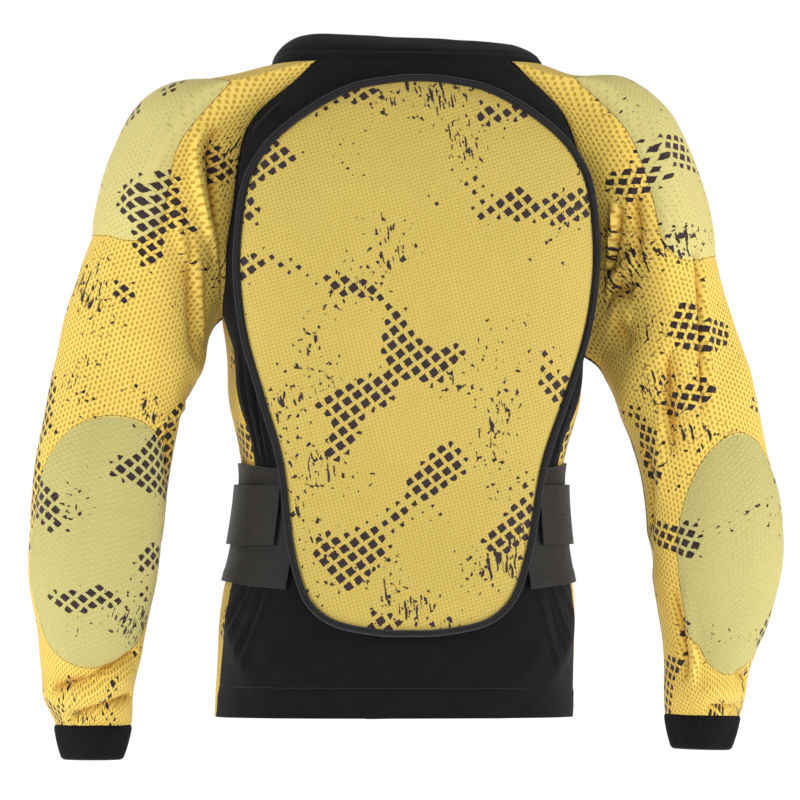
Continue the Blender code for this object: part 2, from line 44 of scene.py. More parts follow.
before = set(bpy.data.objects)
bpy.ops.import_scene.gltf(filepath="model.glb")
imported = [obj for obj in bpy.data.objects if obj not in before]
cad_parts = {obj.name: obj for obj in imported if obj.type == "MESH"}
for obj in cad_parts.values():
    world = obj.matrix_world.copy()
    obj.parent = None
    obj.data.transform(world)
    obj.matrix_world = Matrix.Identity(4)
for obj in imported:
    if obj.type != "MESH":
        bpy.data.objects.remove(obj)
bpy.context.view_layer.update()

# Cloth
CLOTH = 0.0020
RIB_CLOTH = 0.0030
GAP = 0.0003
SEAM_GAP = 0.0003
SOFT_CLEARANCE = 0.0016
PLATE_CLEARANCE = 0.0020
SHOULDER_PAD_CLEARANCE = 0.0032
ELBOW_PAD_CLEARANCE = 0.0023

# Torso
BACK_LENGTH = 0.602
CHEST_WIDTH = 0.340
CHEST_DEPTH = 0.226
ROUNDNESS = 2.4
SIDE_LEAN = 0.0138
FRONT_NECK_DROP = 0.050
ARMPIT_DROP = {"left": 0.229, "right": 0.262}
ZIP_WIDTH = 0.012
HEM_DEPTH = 0.027
HEM_PUCKERS = 2.4
HEM_ROW = 8

# Soft waves of the cloth: how far apart they are, how often they come downwards against sideways,
# and their height
SLEEVE_WAVES = ((0.034, 0.6, 0.0014), (0.014, 0.8, 0.0004))
SLEEVE_WAVE_SEEDS = {"left": 2.0, "right": 6.0}
BACK_WAVES = (0.030, 0.5, 0.0005)
FRONT_WAVES = (0.040, 1.0, 0.0010)
COLLAR_WAVES = (0.022, 0.4, 0.0006)
PLATE_DENTS = (0.050, 0.7, 0.0008)
PUCKER_HEIGHT = 0.0005

# Collar and cuffs
COLLAR_HEIGHT = 0.0195
COLLAR_TILT = 0.28
COLLAR_TAKE_IN = 0.022
COLLAR_STITCH_ROW = 3
STITCH_DENT = 0.0006
CUFF_HEIGHT = 0.033
CUFF_TAKE_IN = 0.008
CUFF_RIBS = 84
RIB_RISE = 0.00040

# Overlock stitches: pitch as a share of the plain stitch's, length as a share of their pitch
OVERLOCK_PITCH = 0.55
OVERLOCK_WIDTH = 2.3
OVERLOCK_SLANT = 68.0

# Sleeves
ARM_REACH = 0.349
SLEEVE_DROP = 0.609
SLEEVE_DEPTH = 0.142
ROOT_FADE = 0.42
SEAM_START = 30.0
ARM_LEAN = 0.30

# Pads
SHOULDER_PAD_RISE = 0.010
ELBOW_PAD_RISE = 0.009
PAD_THICKNESS = 0.012
PAD_EDGE = 0.002

# Back protector
PLATE_TOP = 0.0166
PLATE_LENGTH = 0.511
PLATE_WIDTH = 0.331
PLATE_THICKNESS = 0.014
PLATE_EDGE = 0.007
PLATE_CURL = 0.038
PLATE_CURL_POWER = 2.5
BINDING_WIDTH = 0.0062
BINDING_THICKNESS = 0.0095
BINDING_LENGTH = 1.42
BINDING_WRAP = 0.030
BINDING_STITCHES = (0.0016, 0.0044)

# Kidney belt and its outer straps
BELT_TOP = 0.369
BELT_HEIGHT = 0.1085
BELT_DROOP = 0.010
BELT_THICKNESS = 0.0025
BELT_START = 40.0
BELT_EDGE = 0.009
STRAP_TOP = 0.389
STRAP_HEIGHT = 0.0545
STRAP_START = 48.0
STRAP_END = 152.0

# Mesh fineness: columns and rows of each kind of cloth
BACK_GRID = (170, 190)
FRONT_GRID = (64, 130)
SLEEVE_GRID = (180, 230)
PLATE_GRID = (192, 60)
BINDING_GRID = (480, 20)
BELT_GRID = (280, 26)
STRAP_GRID = (110, 16)
COLLAR_GRID = (180, 14)
CUFF_ROWS = 14
PAD_GRID = (72, 14)
ARMPIT_ROW = 10 / 22

# Front zip
ZIP_GRID = (6, 120)
TOOTH_PITCH = 0.0021
TOOTH_OFFSET = 0.0009
TOOTH_SIZE = (0.0042, 0.0016, 0.0013)
SLIDER_SIZE = (0.0085, 0.0034, 0.011)
SLIDER_BEVEL = 0.0012

# The dark print: lozenges across and along, brush strokes and spatter. Scales are marks a metre.
PRINT_PITCH = (0.0138, 0.0116)
PRINT_SIZE = (0.0088, 0.0092)
PRINT_TURN = 14.0
PRINT_WANDER = 0.0018
FIELD_SCALE = 17.0
STROKE_SCALE = (330, 70, 1)
STROKE_TURN = 68.0
SPATTER_SCALE = 230.0
PRINT_SHIFTS = {"left": (3.1, 0.4, 0), "right": (0.2, 5.3, 0)}
FRONT_PRINT_SHIFT = (9.4, 2.2, 0)
PLATE_PRINT_SHIFT = (5.7, 8.8, 0)

# Holes of the mesh and dimples of the plate's cover, as shares of their pitch across, with the
# painted shade inside them, and how strongly the folds are darkened with painted shade and raised
HOLE_ROWS = 0.76
HOLE_SIZE = (0.30, 0.56)
HOLE_EDGE = (0.45, 1.15)
# Painted shade that darkens the mesh's holes.
HOLE_SHADE_TINT = (0.66, 0.52, 0.34)
FOLD_SHADE_DEPTH = 0.0055
FOLD_SHADE_TINT = 0.85
CREASE_STRENGTH = 1.25
PAD_CALM = 0.9
DIMPLE_ROWS = 1.05
DIMPLE_SIZE = (0.30, 0.36)
# Painted shade that darkens the plate's dimples.
DIMPLE_SHADE_TINT = (0.80, 0.66, 0.42)
DIMPLE_TURN = 28.0

# Camera, floor and lights: name, place, size across and power
CAMERA_TARGET = (0.0074, 0.0, -0.311)
CAMERA_ASIDE = 6.0
CAMERA_DISTANCE = 14.0
VIEW_WIDTH = 0.736
FLOOR_DROP = -0.95
FLOOR_SIZE = 30.0
FLOOR_GLOW = 0.68
AMBIENT = 0.42
LIGHTS = (
    ("left box", (2.6, 1.1, 0.2), 1.0, 34.0),
    ("right box", (-2.6, 1.2, 0.1), 1.0, 40.0),
    ("top", (0.1, 0.9, 2.2), 1.4, 5.0),
    ("front", (0.4, -2.6, 0.8), 2.0, 12.0),
)

SIDES = {"left": 1, "right": -1}
SLEEVE_SEAM = 180.0
LAST_RING = 16
FIRST_RING = SEAM_GAP * LAST_RING / ARM_REACH

# Level sections of the body: drop as a share of BACK_LENGTH, half width as a share of
# CHEST_WIDTH / 2, and the depths behind and in front as shares of CHEST_DEPTH / 2.
HALF_WIDTH, BACK, FRONT = range(1, 4)
BODY_SECTIONS = (
    (0.000, 0.690, 0.620, 0.680),
    (0.033, 0.780, 0.720, 0.750),
    (0.083, 0.930, 0.860, 0.840),
    (0.166, 1.010, 0.965, 0.920),
    (0.266, 1.045, 1.010, 0.980),
    (0.330, 1.030, 1.005, 1.000),
    (0.390, 0.985, 0.985, 1.000),
    (0.446, 0.950, 0.955, 0.990),
    (0.520, 0.936, 0.910, 0.970),
    (0.593, 0.870, 0.860, 0.930),
    (0.641, 0.850, 0.840, 0.920),
    (0.739, 0.885, 0.860, 0.930),
    (0.812, 0.935, 0.910, 0.950),
    (0.887, 0.950, 0.950, 0.960),
    (1.000, 0.955, 0.975, 0.960),
)

# The raglan seams: share of the way from the neck to the armpit, and the angle from the
# middle of the back, in degrees.
BACK_SEAM = {
    "left": (
        (0.00, 44), (0.10, 54), (0.20, 62), (0.28, 66), (0.40, 67),
        (0.58, 67), (0.72, 70), (0.88, 75), (1.00, 90),
    ),
    "right": (
        (0.00, 44), (0.09, 53), (0.17, 56), (0.31, 59), (0.43, 65),
        (0.59, 74), (0.71, 79), (0.85, 82), (1.00, 90),
    ),
}
FRONT_SEAM = ((0.00, 128), (0.30, 112), (0.60, 104), (0.85, 98), (1.00, 90))

# The side seams: share of the way from the armpit to the hem, and the angle in degrees.
SIDE_SEAM = ((0.00, 90), (0.12, 77), (0.35, 71), (0.65, 79), (1.00, 88))

# Rings of the sleeves from the raglan seam to the cuff: the outer and the inner point, sideways
# as shares of ARM_REACH and down as shares of SLEEVE_DROP, then how far the ring stands back
# and its half depth as shares of SLEEVE_DEPTH.
OUT_X, OUT_DROP, IN_X, IN_DROP, BEHIND, HALF_DEPTH = range(6)
SLEEVE_RINGS = {
    "left": (
        (0.340, 0.010, 0.463, 0.376, 0.00, 0.41),
        (0.487, 0.030, 0.487, 0.388, 0.00, 0.47),
        (0.607, 0.046, 0.504, 0.399, 0.01, 0.50),
        (0.699, 0.085, 0.519, 0.411, 0.03, 0.50),
        (0.762, 0.153, 0.530, 0.422, 0.04, 0.49),
        (0.808, 0.230, 0.542, 0.437, 0.05, 0.47),
        (0.854, 0.299, 0.553, 0.455, 0.06, 0.46),
        (0.894, 0.371, 0.564, 0.476, 0.08, 0.45),
        (0.923, 0.440, 0.575, 0.501, 0.09, 0.44),
        (0.957, 0.525, 0.612, 0.545, 0.12, 0.44),
        (0.986, 0.611, 0.641, 0.614, 0.15, 0.43),
        (0.997, 0.706, 0.660, 0.706, 0.15, 0.42),
        (0.999, 0.780, 0.678, 0.780, 0.12, 0.39),
        (0.977, 0.852, 0.700, 0.852, 0.04, 0.35),
        (0.966, 0.903, 0.711, 0.903, -0.05, 0.32),
        (0.951, 0.952, 0.728, 0.952, -0.14, 0.29),
        (0.920, 1.000, 0.731, 1.000, -0.22, 0.25),
    ),
    "right": (
        (0.340, 0.010, 0.463, 0.430, 0.00, 0.41),
        (0.444, 0.030, 0.480, 0.438, 0.00, 0.46),
        (0.559, 0.039, 0.496, 0.446, 0.01, 0.49),
        (0.665, 0.085, 0.510, 0.456, 0.02, 0.49),
        (0.722, 0.141, 0.521, 0.467, 0.03, 0.48),
        (0.768, 0.213, 0.530, 0.480, 0.04, 0.47),
        (0.802, 0.282, 0.542, 0.496, 0.05, 0.46),
        (0.831, 0.358, 0.559, 0.518, 0.06, 0.45),
        (0.862, 0.424, 0.576, 0.545, 0.07, 0.44),
        (0.900, 0.493, 0.596, 0.578, 0.10, 0.44),
        (0.932, 0.578, 0.622, 0.634, 0.13, 0.43),
        (0.963, 0.657, 0.634, 0.690, 0.14, 0.42),
        (0.969, 0.739, 0.642, 0.742, 0.12, 0.40),
        (0.955, 0.805, 0.662, 0.805, 0.05, 0.36),
        (0.932, 0.875, 0.684, 0.877, -0.05, 0.32),
        (0.899, 0.936, 0.694, 0.936, -0.15, 0.29),
        (0.886, 0.988, 0.700, 0.985, -0.22, 0.25),
    ),
}

# The pads under the sleeve mesh: the middle's angle round the sleeve and its ring, then half the
# spread in degrees and in rings.
PAD_ANGLE, PAD_RING, PAD_SPREAD, PAD_RINGS = range(4)
SHOULDER_PADS = {"left": (4, 3.54, 79, 1.94), "right": (4, 3.80, 78, 2.34)}
ELBOW_PADS = {"left": (90, 11.60, 80, 2.60), "right": (66, 12.20, 66, 2.60)}

# Folds of the sleeves: the angle and ring of the middle, the half length in rings, the half width
# in degrees, the turn in degrees for each ring, and the height as a share of SLEEVE_DEPTH.
SLEEVE_FOLDS = {
    "left": (
        (100, 3.4, 2.2, 24, 10, -0.040),
        (148, 6.4, 2.4, 22, -9, 0.035),
        (172, 8.2, 1.6, 24, 14, -0.030),
        (60, 15.2, 0.7, 80, 30, 0.030),
        (205, 11.8, 0.7, 36, 20, -0.030),
    ),
    "right": (
        (122, 4.6, 2.0, 24, -12, -0.040),
        (150, 6.8, 2.2, 22, 10, 0.035),
        (20, 8.4, 2.0, 18, 4, 0.035),
        (70, 15.3, 0.7, 80, -25, 0.030),
        (205, 12.0, 0.7, 36, -20, -0.030),
    ),
}

# Folds of the body cloth: the angle and the share down of the middle, the half length as a share,
# the half width in degrees, the turn in degrees for each whole length, and the height as a share
# of CHEST_DEPTH.
BODY_FOLDS = (
    (71, 0.47, 0.11, 7, 20, 0.014),
    (60, 0.52, 0.07, 7, 30, -0.012),
    (-74, 0.47, 0.11, 7, -20, 0.012),
    (64, 0.90, 0.08, 8, -220, 0.020),
    (40, 0.93, 0.07, 8, -200, 0.014),
    (-62, 0.90, 0.08, 8, 220, 0.020),
    (-38, 0.93, 0.07, 8, 200, 0.014),
)

# Fine creases, each from one place to another: where it starts and ends, its half width and its
# height in metres, negative for a furrow. A place on a sleeve is a turn in degrees and a ring,
# and on the body it is an angle in degrees and a share down. The scales turn places into metres.
SLEEVE_SCALE = (0.00115, 0.031)
SLEEVE_CREASES = {
    "left": (
        (56, 1.55, 128, 1.50, 0.0060, 0.0065),
        (116, 1.45, 158, 0.55, 0.0050, 0.0050),
        (74, 1.08, 134, 1.00, 0.0048, -0.0080),
        (126, 1.00, 172, 0.45, 0.0050, -0.0065),
        (62, 0.95, 82, 1.15, 0.0060, -0.0040),
        (84, 2.70, 122, 3.50, 0.0090, 0.0030),
        (112, 2.60, 146, 6.40, 0.0085, -0.0045),
        (128, 2.40, 152, 5.00, 0.0060, 0.0030),
        (136, 8.60, 166, 10.6, 0.0060, -0.0045),
        (128, 9.30, 160, 8.40, 0.0060, 0.0035),
        (150, 10.8, 172, 12.2, 0.0060, -0.0040),
        (28, 14.85, 92, 14.55, 0.0055, -0.0060),
        (84, 14.60, 150, 13.60, 0.0055, -0.0065),
        (50, 15.25, 146, 14.35, 0.0075, 0.0045),
        (48, 15.80, 112, 15.30, 0.0042, -0.0050),
        (104, 15.35, 160, 15.00, 0.0042, -0.0050),
        (250, 14.20, 320, 15.20, 0.0060, -0.0050),
        (220, 8.60, 270, 10.2, 0.0070, -0.0050),
        (230, 9.60, 280, 9.20, 0.0070, 0.0035),
        (210, 1.20, 262, 1.90, 0.0060, -0.0055),
    ),
    "right": (
        (96, 1.25, 134, 1.05, 0.0048, 0.0055),
        (96, 1.62, 134, 1.35, 0.0042, -0.0070),
        (84, 2.20, 112, 2.90, 0.0085, -0.0055),
        (140, 1.10, 112, 2.90, 0.0048, 0.0045),
        (144, 1.45, 122, 3.50, 0.0048, -0.0050),
        (148, 1.90, 130, 4.20, 0.0050, 0.0035),
        (150, 2.60, 134, 5.20, 0.0060, -0.0035),
        (48, 5.20, 88, 9.10, 0.0042, -0.0045),
        (44, 5.60, 80, 9.20, 0.0070, 0.0025),
        (98, 6.60, 124, 9.60, 0.0080, -0.0065),
        (120, 8.20, 146, 10.6, 0.0060, 0.0035),
        (150, 9.00, 170, 11.4, 0.0060, -0.0045),
        (122, 12.6, 112, 15.1, 0.0055, 0.0050),
        (142, 12.8, 124, 15.0, 0.0055, -0.0055),
        (96, 15.72, 36, 15.75, 0.0032, -0.0035),
        (100, 15.20, 40, 15.25, 0.0060, 0.0035),
        (60, 14.75, 20, 14.95, 0.0050, -0.0040),
        (250, 14.40, 320, 15.10, 0.0060, -0.0050),
        (220, 8.80, 270, 10.4, 0.0070, -0.0050),
        (210, 1.30, 262, 2.00, 0.0060, -0.0055),
    ),
}
BODY_SCALE = (0.0026, 0.602)
BODY_CREASES = (
    (64, 0.795, 80, 0.850, 0.0026, 0.0022),
    (59, 0.800, 73, 0.880, 0.0026, 0.0022),
    (54, 0.802, 66, 0.905, 0.0026, 0.0020),
    (48, 0.804, 61, 0.930, 0.0028, 0.0020),
    (61, 0.800, 76, 0.868, 0.0026, -0.0016),
    (51, 0.804, 63, 0.915, 0.0028, -0.0014),
    (-60, 0.795, -76, 0.850, 0.0026, 0.0020),
    (-54, 0.800, -68, 0.890, 0.0026, 0.0020),
    (-45, 0.804, -57, 0.930, 0.0028, 0.0018),
    (-50, 0.804, -61, 0.910, 0.0028, -0.0014),
    (66, 0.370, 62, 0.640, 0.0028, 0.0024),
    (61, 0.340, 58, 0.640, 0.0026, 0.0022),
    (70, 0.430, 66, 0.630, 0.0026, 0.0020),
    (63, 0.380, 60, 0.640, 0.0024, -0.0018),
    (-66, 0.420, -62, 0.640, 0.0028, 0.0022),
    (-61, 0.440, -57, 0.635, 0.0026, 0.0018),
    (50, 0.070, 61, 0.115, 0.0032, 0.0024),
    (53, 0.060, 63, 0.100, 0.0026, -0.0018),
    (10, 0.995, -8, 0.950, 0.0050, 0.0016),
    (2, 0.998, -14, 0.962, 0.0040, -0.0012),
    (-30, 0.990, -18, 0.955, 0.0050, 0.0012),
)

# Half of the back protector's outline from its top to its bottom: down as a share of
# PLATE_LENGTH and half the width as a share of PLATE_WIDTH / 2.
PLATE_OUTLINE = (
    (0.000, 0.000), (0.003, 0.150), (0.018, 0.377), (0.056, 0.607), (0.099, 0.782),
    (0.142, 0.890), (0.200, 0.965), (0.310, 1.000), (0.400, 0.984), (0.480, 0.938),
    (0.576, 0.848), (0.691, 0.740), (0.834, 0.677), (0.917, 0.610), (0.958, 0.530),
    (0.984, 0.400), (0.998, 0.180), (1.000, 0.000),
)


# Shape of the jacket, on arrays


def vectors(x, y, z):
    """Points or directions from their three parts, which may have different array shapes."""
    return np.stack(np.broadcast_arrays(x, y, z), axis=-1).astype(float)


def unit(direction):
    """Directions with a length of one."""
    length = np.linalg.norm(direction, axis=-1, keepdims=True)
    return direction / np.maximum(length, 1e-12)


def signed_power(value, power):
    """A power that keeps the sign of its base."""
    return np.sign(value) * np.abs(value) ** power


def blend(first, second, share):
    """What lies a share of the way from the first to the second."""
    return first + (second - first) * share


def eased(share):
    """A share from 0 to 1 that starts and stops gently."""
    share = np.clip(share, 0.0, 1.0)
    return share * share * (3 - 2 * share)


def read(rows, at, column=1):
    """A table's column on a smooth curve through its rows, whose first column is the place."""
    table = np.array(rows, float)
    places, values = table[:, 0], table[:, column]
    slopes = np.empty_like(values)
    slopes[1:-1] = (values[2:] - values[:-2]) / (places[2:] - places[:-2])
    slopes[0] = (values[1] - values[0]) / (places[1] - places[0])
    slopes[-1] = (values[-1] - values[-2]) / (places[-1] - places[-2])
    at = np.clip(at, places[0], places[-1])
    low = np.clip(np.searchsorted(places, at, side="right") - 1, 0, len(places) - 2)
    span = places[low + 1] - places[low]
    t = (at - places[low]) / span
    start = (1 + 2 * t) * (1 - t) ** 2 * values[low] + t * (1 - t) ** 2 * span * slopes[low]
    end = t * t * (3 - 2 * t) * values[low + 1] + t * t * (t - 1) * span * slopes[low + 1]
    return start + end


def ring_value(side, ring, column):
    """A column of the sleeve's table at a ring number that may lie between two rows."""
    rows = SLEEVE_RINGS[side]
    return read([(number, row[column]) for number, row in enumerate(rows)], ring)


def around(angle):
    """An angle in degrees, from -180 to 180."""
    return (angle + 180) % 360 - 180


def fold_height(folds, angle, place):
    """How far all folds of a table lift the cloth at an angle in degrees and a place along it."""
    total = 0.0
    for fold_angle, fold_place, half_length, half_width, turn, height in folds:
        along = np.clip((place - fold_place) / half_length, -1, 1)
        off = around(angle - fold_angle - turn * (place - fold_place))
        total = total + height * (1 - along * along) ** 2 * np.exp(-((off / half_width) ** 2))
    return total


def crease_height(creases, scale, across, along):
    """How far all creases of a table lift the cloth at places given in the table's units."""
    total = 0.0
    for from_across, from_along, to_across, to_along, half_width, height in creases:
        run = np.array([(to_across - from_across) * scale[0], (to_along - from_along) * scale[1]])
        x = around(across - from_across) * scale[0]
        y = (along - from_along) * scale[1]
        share = np.clip((x * run[0] + y * run[1]) / (run @ run), 0, 1)
        off = np.hypot(x - run[0] * share, y - run[1] * share)
        taper = 1 - (2 * share - 1) ** 4
        total = total + height * taper * np.exp(-((off / half_width) ** 1.6))
    return total


def neck_drop(angle):
    """How far the collar seam lies below the origin, at an angle from the middle of the back."""
    return FRONT_NECK_DROP * ((1 - np.cos(angle)) / 2) ** 3


def body_point(angle, down, out=0.0):
    """The body cloth's inner surface: angle from the middle of the back, and the share of the way
    from the collar seam to the hem."""
    drop = BACK_LENGTH * down + neck_drop(angle) * (1 - down)
    share = drop / BACK_LENGTH
    behind = np.cos(angle) > 0
    facing = np.where(behind, read(BODY_SECTIONS, share, BACK), read(BODY_SECTIONS, share, FRONT))
    lift = fold_height(BODY_FOLDS, np.degrees(angle), down) * CHEST_DEPTH
    half = CHEST_WIDTH / 2 * read(BODY_SECTIONS, share, HALF_WIDTH) + out + lift
    depth = CHEST_DEPTH / 2 * facing + out + lift
    x = half * signed_power(np.sin(angle), 2 / ROUNDNESS) + SIDE_LEAN * share * share
    return vectors(x, depth * signed_power(np.cos(angle), 2 / ROUNDNESS), -drop)


def armpit_down(side):
    """The armpit's share of the way from the collar seam to the hem."""
    return ARMPIT_DROP[side] / BACK_LENGTH


def seam_angle(side, face, share):
    """The raglan seam's angle at a share of the way from the neck to the armpit."""
    rows = BACK_SEAM[side] if face == "back" else FRONT_SEAM
    return SIDES[side] * np.radians(read(rows, share))


def root_place(side, turn):
    """The raglan seam's angle and share down, at a turn from the shoulder, back and down."""
    turn = turn % 360
    near = np.where(turn <= 180, turn, 360 - turn)
    share = np.clip((near - SEAM_START) / (180 - SEAM_START), 0, 1)
    along = np.where(
        turn <= 180, seam_angle(side, "back", share), seam_angle(side, "front", share))
    shoulder = blend(SIDES[side] * math.pi / 2, along, np.minimum(near / SEAM_START, 1))
    return shoulder, share * armpit_down(side)


def ring_point(side, turn, ring):
    """The plain tube that the sleeve follows, and its outward direction there."""
    sign = SIDES[side]
    outer = vectors(
        sign * ARM_REACH * ring_value(side, ring, OUT_X), 0 * ring,
        -SLEEVE_DROP * ring_value(side, ring, OUT_DROP))
    inner = vectors(
        sign * ARM_REACH * ring_value(side, ring, IN_X), 0 * ring,
        -SLEEVE_DROP * ring_value(side, ring, IN_DROP))
    half = (outer - inner) / 2
    length = np.linalg.norm(half, axis=-1)
    depth = SLEEVE_DEPTH * ring_value(side, ring, HALF_DEPTH)
    behind = SLEEVE_DEPTH * ring_value(side, ring, BEHIND)
    c, s = np.cos(np.radians(turn)), np.sin(np.radians(turn))
    middle = (outer + inner) / 2 + vectors(0, behind, 0)
    point = middle + half * c[..., None] + vectors(0, depth * s, 0)
    outward = unit(half) * (c * depth)[..., None] + vectors(0, length * s, 0)
    return point, unit(outward)


def pad_reach(pad, turn, ring):
    """The distance from a pad's middle, 1 on its outline."""
    off = around(turn - pad[PAD_ANGLE])
    return np.hypot(off / pad[PAD_SPREAD], (ring - pad[PAD_RING]) / pad[PAD_RINGS])


def pad_lift(side, turn, ring):
    """How far the pads push the sleeve mesh out."""
    total = 0.0
    for pads, rise in ((SHOULDER_PADS, SHOULDER_PAD_RISE), (ELBOW_PADS, ELBOW_PAD_RISE)):
        reach = np.minimum(pad_reach(pads[side], turn, ring), 1)
        total = total + rise * (1 - reach ** 4) ** 0.9
    return total


def sleeve_point(side, turn, ring):
    """The sleeve cloth's inner surface."""
    turn, ring = np.broadcast_arrays(np.asarray(turn, float), np.asarray(ring, float))
    plain, outward = ring_point(side, turn, ring)
    pull = 1 - eased(ring / (ROOT_FADE * LAST_RING))
    root = body_point(*root_place(side, turn))
    start, _ = ring_point(side, turn, np.zeros_like(ring))
    fold = fold_height(SLEEVE_FOLDS[side], turn, ring) * SLEEVE_DEPTH
    lift = (pad_lift(side, turn, ring) + fold) * eased(ring)
    return plain + (root - start) * pull[..., None] + outward * lift[..., None]


def plate_outline(share, inset=0.0):
    """The back protector's outline, sideways and down, at shares of the way round from its top.
    It is moved inwards by the inset."""
    half = len(PLATE_OUTLINE) - 1
    right = [(row[1] * PLATE_WIDTH / 2, row[0] * PLATE_LENGTH) for row in PLATE_OUTLINE]
    left = [(-x, down) for x, down in right[half - 1:0:-1]]
    corners = np.array(right + left)

    def at(place):
        low = np.floor(place).astype(int)
        t = (place - low)[..., None]
        before, start, end, after = (corners[(low + k) % (2 * half)] for k in (-1, 0, 1, 2))
        return (
            start + (end - before) * (t / 2)
            + (before * 2 - start * 5 + end * 4 - after) * (t * t / 2)
            + (start * 3 - before - end * 3 + after) * (t ** 3 / 2)
        )

    place = np.asarray(share, float) * 2 * half
    ahead = at(place + 0.02) - at(place - 0.02)
    inward = unit(np.stack([-ahead[..., 1], ahead[..., 0]], axis=-1))
    return at(place) + inward * np.asarray(inset)[..., None]


def plate_surface(x, down):
    """The back protector's inner face at a place sideways and down from the plate's top."""
    drop = PLATE_TOP + down
    share = drop / BACK_LENGTH
    spine = CHEST_DEPTH / 2 * read(BODY_SECTIONS, share, BACK) + CLOTH + PLATE_CLEARANCE
    curl = PLATE_CURL * (np.abs(x) / (PLATE_WIDTH / 2)) ** PLATE_CURL_POWER
    return vectors(x + SIDE_LEAN * share * share, spine - curl, -drop)


def plate_normal(x, down):
    """The direction out of the back protector's face."""
    step = 0.003
    sideways = plate_surface(x + step, down) - plate_surface(x - step, down)
    downwards = plate_surface(x, down + step) - plate_surface(x, down - step)
    return unit(np.cross(sideways, downwards))


def waves(points, kind, seed):
    """Smooth noise at points, by how far apart its waves are, how often they come downwards against
    sideways, and their height."""
    size, downwards, height = kind
    flat = (points * (1, 1, downwards)).reshape(-1, 3) / size + seed
    values = np.array([noise.noise(Vector(p)) for p in flat])
    return values.reshape(points.shape[:-1]) * height


# Cloth from grids of points


def grid_normals(grid, closed, outward=None):
    """Unit normals of a grid of points. They point away from the middle of each row, or along a
    given direction."""
    along = np.gradient(grid, axis=0)
    if closed:
        wide = np.concatenate([grid[:, -2:-1], grid, grid[:, 1:2]], axis=1)
        across = wide[:, 2:] - wide[:, :-2]
    else:
        across = np.gradient(grid, axis=1)
    normal = unit(np.cross(across, along))
    away = grid - grid.mean(axis=1, keepdims=True) if outward is None else np.array(outward)
    return normal if np.sum(normal * away) > 0 else -normal


def cloth_template(across, along, shape):
    """A thin wall made of unit cloth: u across, v along and w through it. Its shape is an open
    panel, a tube closed in u, or a disc closed in u whose middle is at v = 0."""
    bm = bmesh.new()
    bm.loops.layers.uv.new("Place")
    bmesh.ops.create_grid(bm, x_segments=across, y_segments=along, size=0.5, calc_uvs=True)
    u, v, w = (bm.verts.layers.float.new(name) for name in "uvw")
    for vert in bm.verts:
        vert[u], vert[v] = vert.co.x + 0.5, vert.co.y + 0.5
        turn = Matrix.Rotation(2 * math.pi * vert[u], 4, "Z")
        if shape == "tube":
            vert.co = turn @ Vector((1, 0, vert[v]))
        elif shape == "disc":
            vert.co = turn @ Vector((vert[v], 0, 0))
    bmesh.ops.remove_doubles(bm, verts=bm.verts, dist=0.00001)
    thick = bmesh.ops.extrude_face_region(bm, geom=bm.faces[:])
    for item in thick["geom"]:
        if isinstance(item, bmesh.types.BMVert):
            item[w] = 1.0
            outward = Vector((item.co.x, item.co.y, 0)) if shape == "tube" else Vector((0, 0, 1))
            item.co += outward * 0.1
    bmesh.ops.recalc_face_normals(bm, faces=bm.faces)
    return bm


def layer_values(mesh, name, count):
    """The values of a float attribute of a mesh, which is then removed."""
    values = np.zeros(count, np.float32)
    attribute = mesh.attributes[name]
    attribute.data.foreach_get("value", values)
    mesh.attributes.remove(attribute)
    return values


def signed_volume(mesh):
    """The volume inside a closed mesh, negative if its faces point inwards."""
    mesh.calc_loop_triangles()
    corners = np.zeros(len(mesh.loop_triangles) * 3, np.int32)
    mesh.loop_triangles.foreach_get("vertices", corners)
    places = np.zeros(len(mesh.vertices) * 3, np.float32)
    mesh.vertices.foreach_get("co", places)
    a, b, c = places.reshape(-1, 3)[corners.reshape(-1, 3)].astype(float).transpose(1, 0, 2)
    return np.sum(np.cross(a, b) * c) / 6


def keep(name, mesh, finish, nodes, crisp=50):
    """Makes a finished mesh a piece that rides with the jacket and stands for its solids."""
    mesh.validate()
    mesh.update()
    if signed_volume(mesh) < 0:
        mesh.flip_normals()
    mesh.shade_smooth()
    mesh.set_sharp_from_angle(angle=math.radians(crisp))
    mesh.materials.append(finish)
    piece = bpy.data.objects.new(name, mesh)
    bpy.context.scene.collection.objects.link(piece)
    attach(piece, "root")
    if nodes:
        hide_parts(*nodes)
    return piece


def sew(name, grid, thickness, shape, flat, outward=None, normal=None, fold_shade=None):
    """Makes a wall of cloth whose inner side follows a grid of points, rows first. thickness is a
    number or a grid, and flat is the grid of its places on the uncut cloth, in metres. The
    last argument is a grid of shares of painted shade, by how deep in a fold each point lies."""
    rows, columns = grid.shape[0] - 1, grid.shape[1] - 1
    if normal is None:
        normal = grid_normals(grid, shape != "panel", outward)
    bm = cloth_template(columns, rows, shape)
    mesh = bpy.data.meshes.new(name)
    bm.to_mesh(mesh)
    bm.free()
    count = len(mesh.vertices)
    u, v, w = (layer_values(mesh, key, count) for key in "uvw")
    column, row = np.rint(u * columns).astype(int), np.rint(v * rows).astype(int)
    thick = np.broadcast_to(thickness, grid.shape[:2])[row, column]
    places = grid[row, column] + normal[row, column] * (thick * w)[:, None]
    mesh.vertices.foreach_set("co", places.astype(np.float32).ravel())
    place = mesh.uv_layers["Place"]
    loops = np.zeros(len(mesh.loops) * 2, np.float32)
    place.uv.foreach_get("vector", loops)
    loops = loops.reshape(-1, 2)
    column = np.rint(loops[:, 0] * columns).astype(int)
    row = np.rint(loops[:, 1] * rows).astype(int)
    cloth = mesh.uv_layers.new(name="Cloth")
    cloth.uv.foreach_set("vector", flat[row, column].astype(np.float32).ravel())
    if fold_shade is not None:
        share = fold_shade[row, column].astype(np.float32)
        # The shares of painted shade in the folds go into their own UV layer.
        folded = mesh.uv_layers.new(name="Hollow")
        folded.uv.foreach_set("vector", np.stack([share, share], axis=-1).ravel())
    return mesh


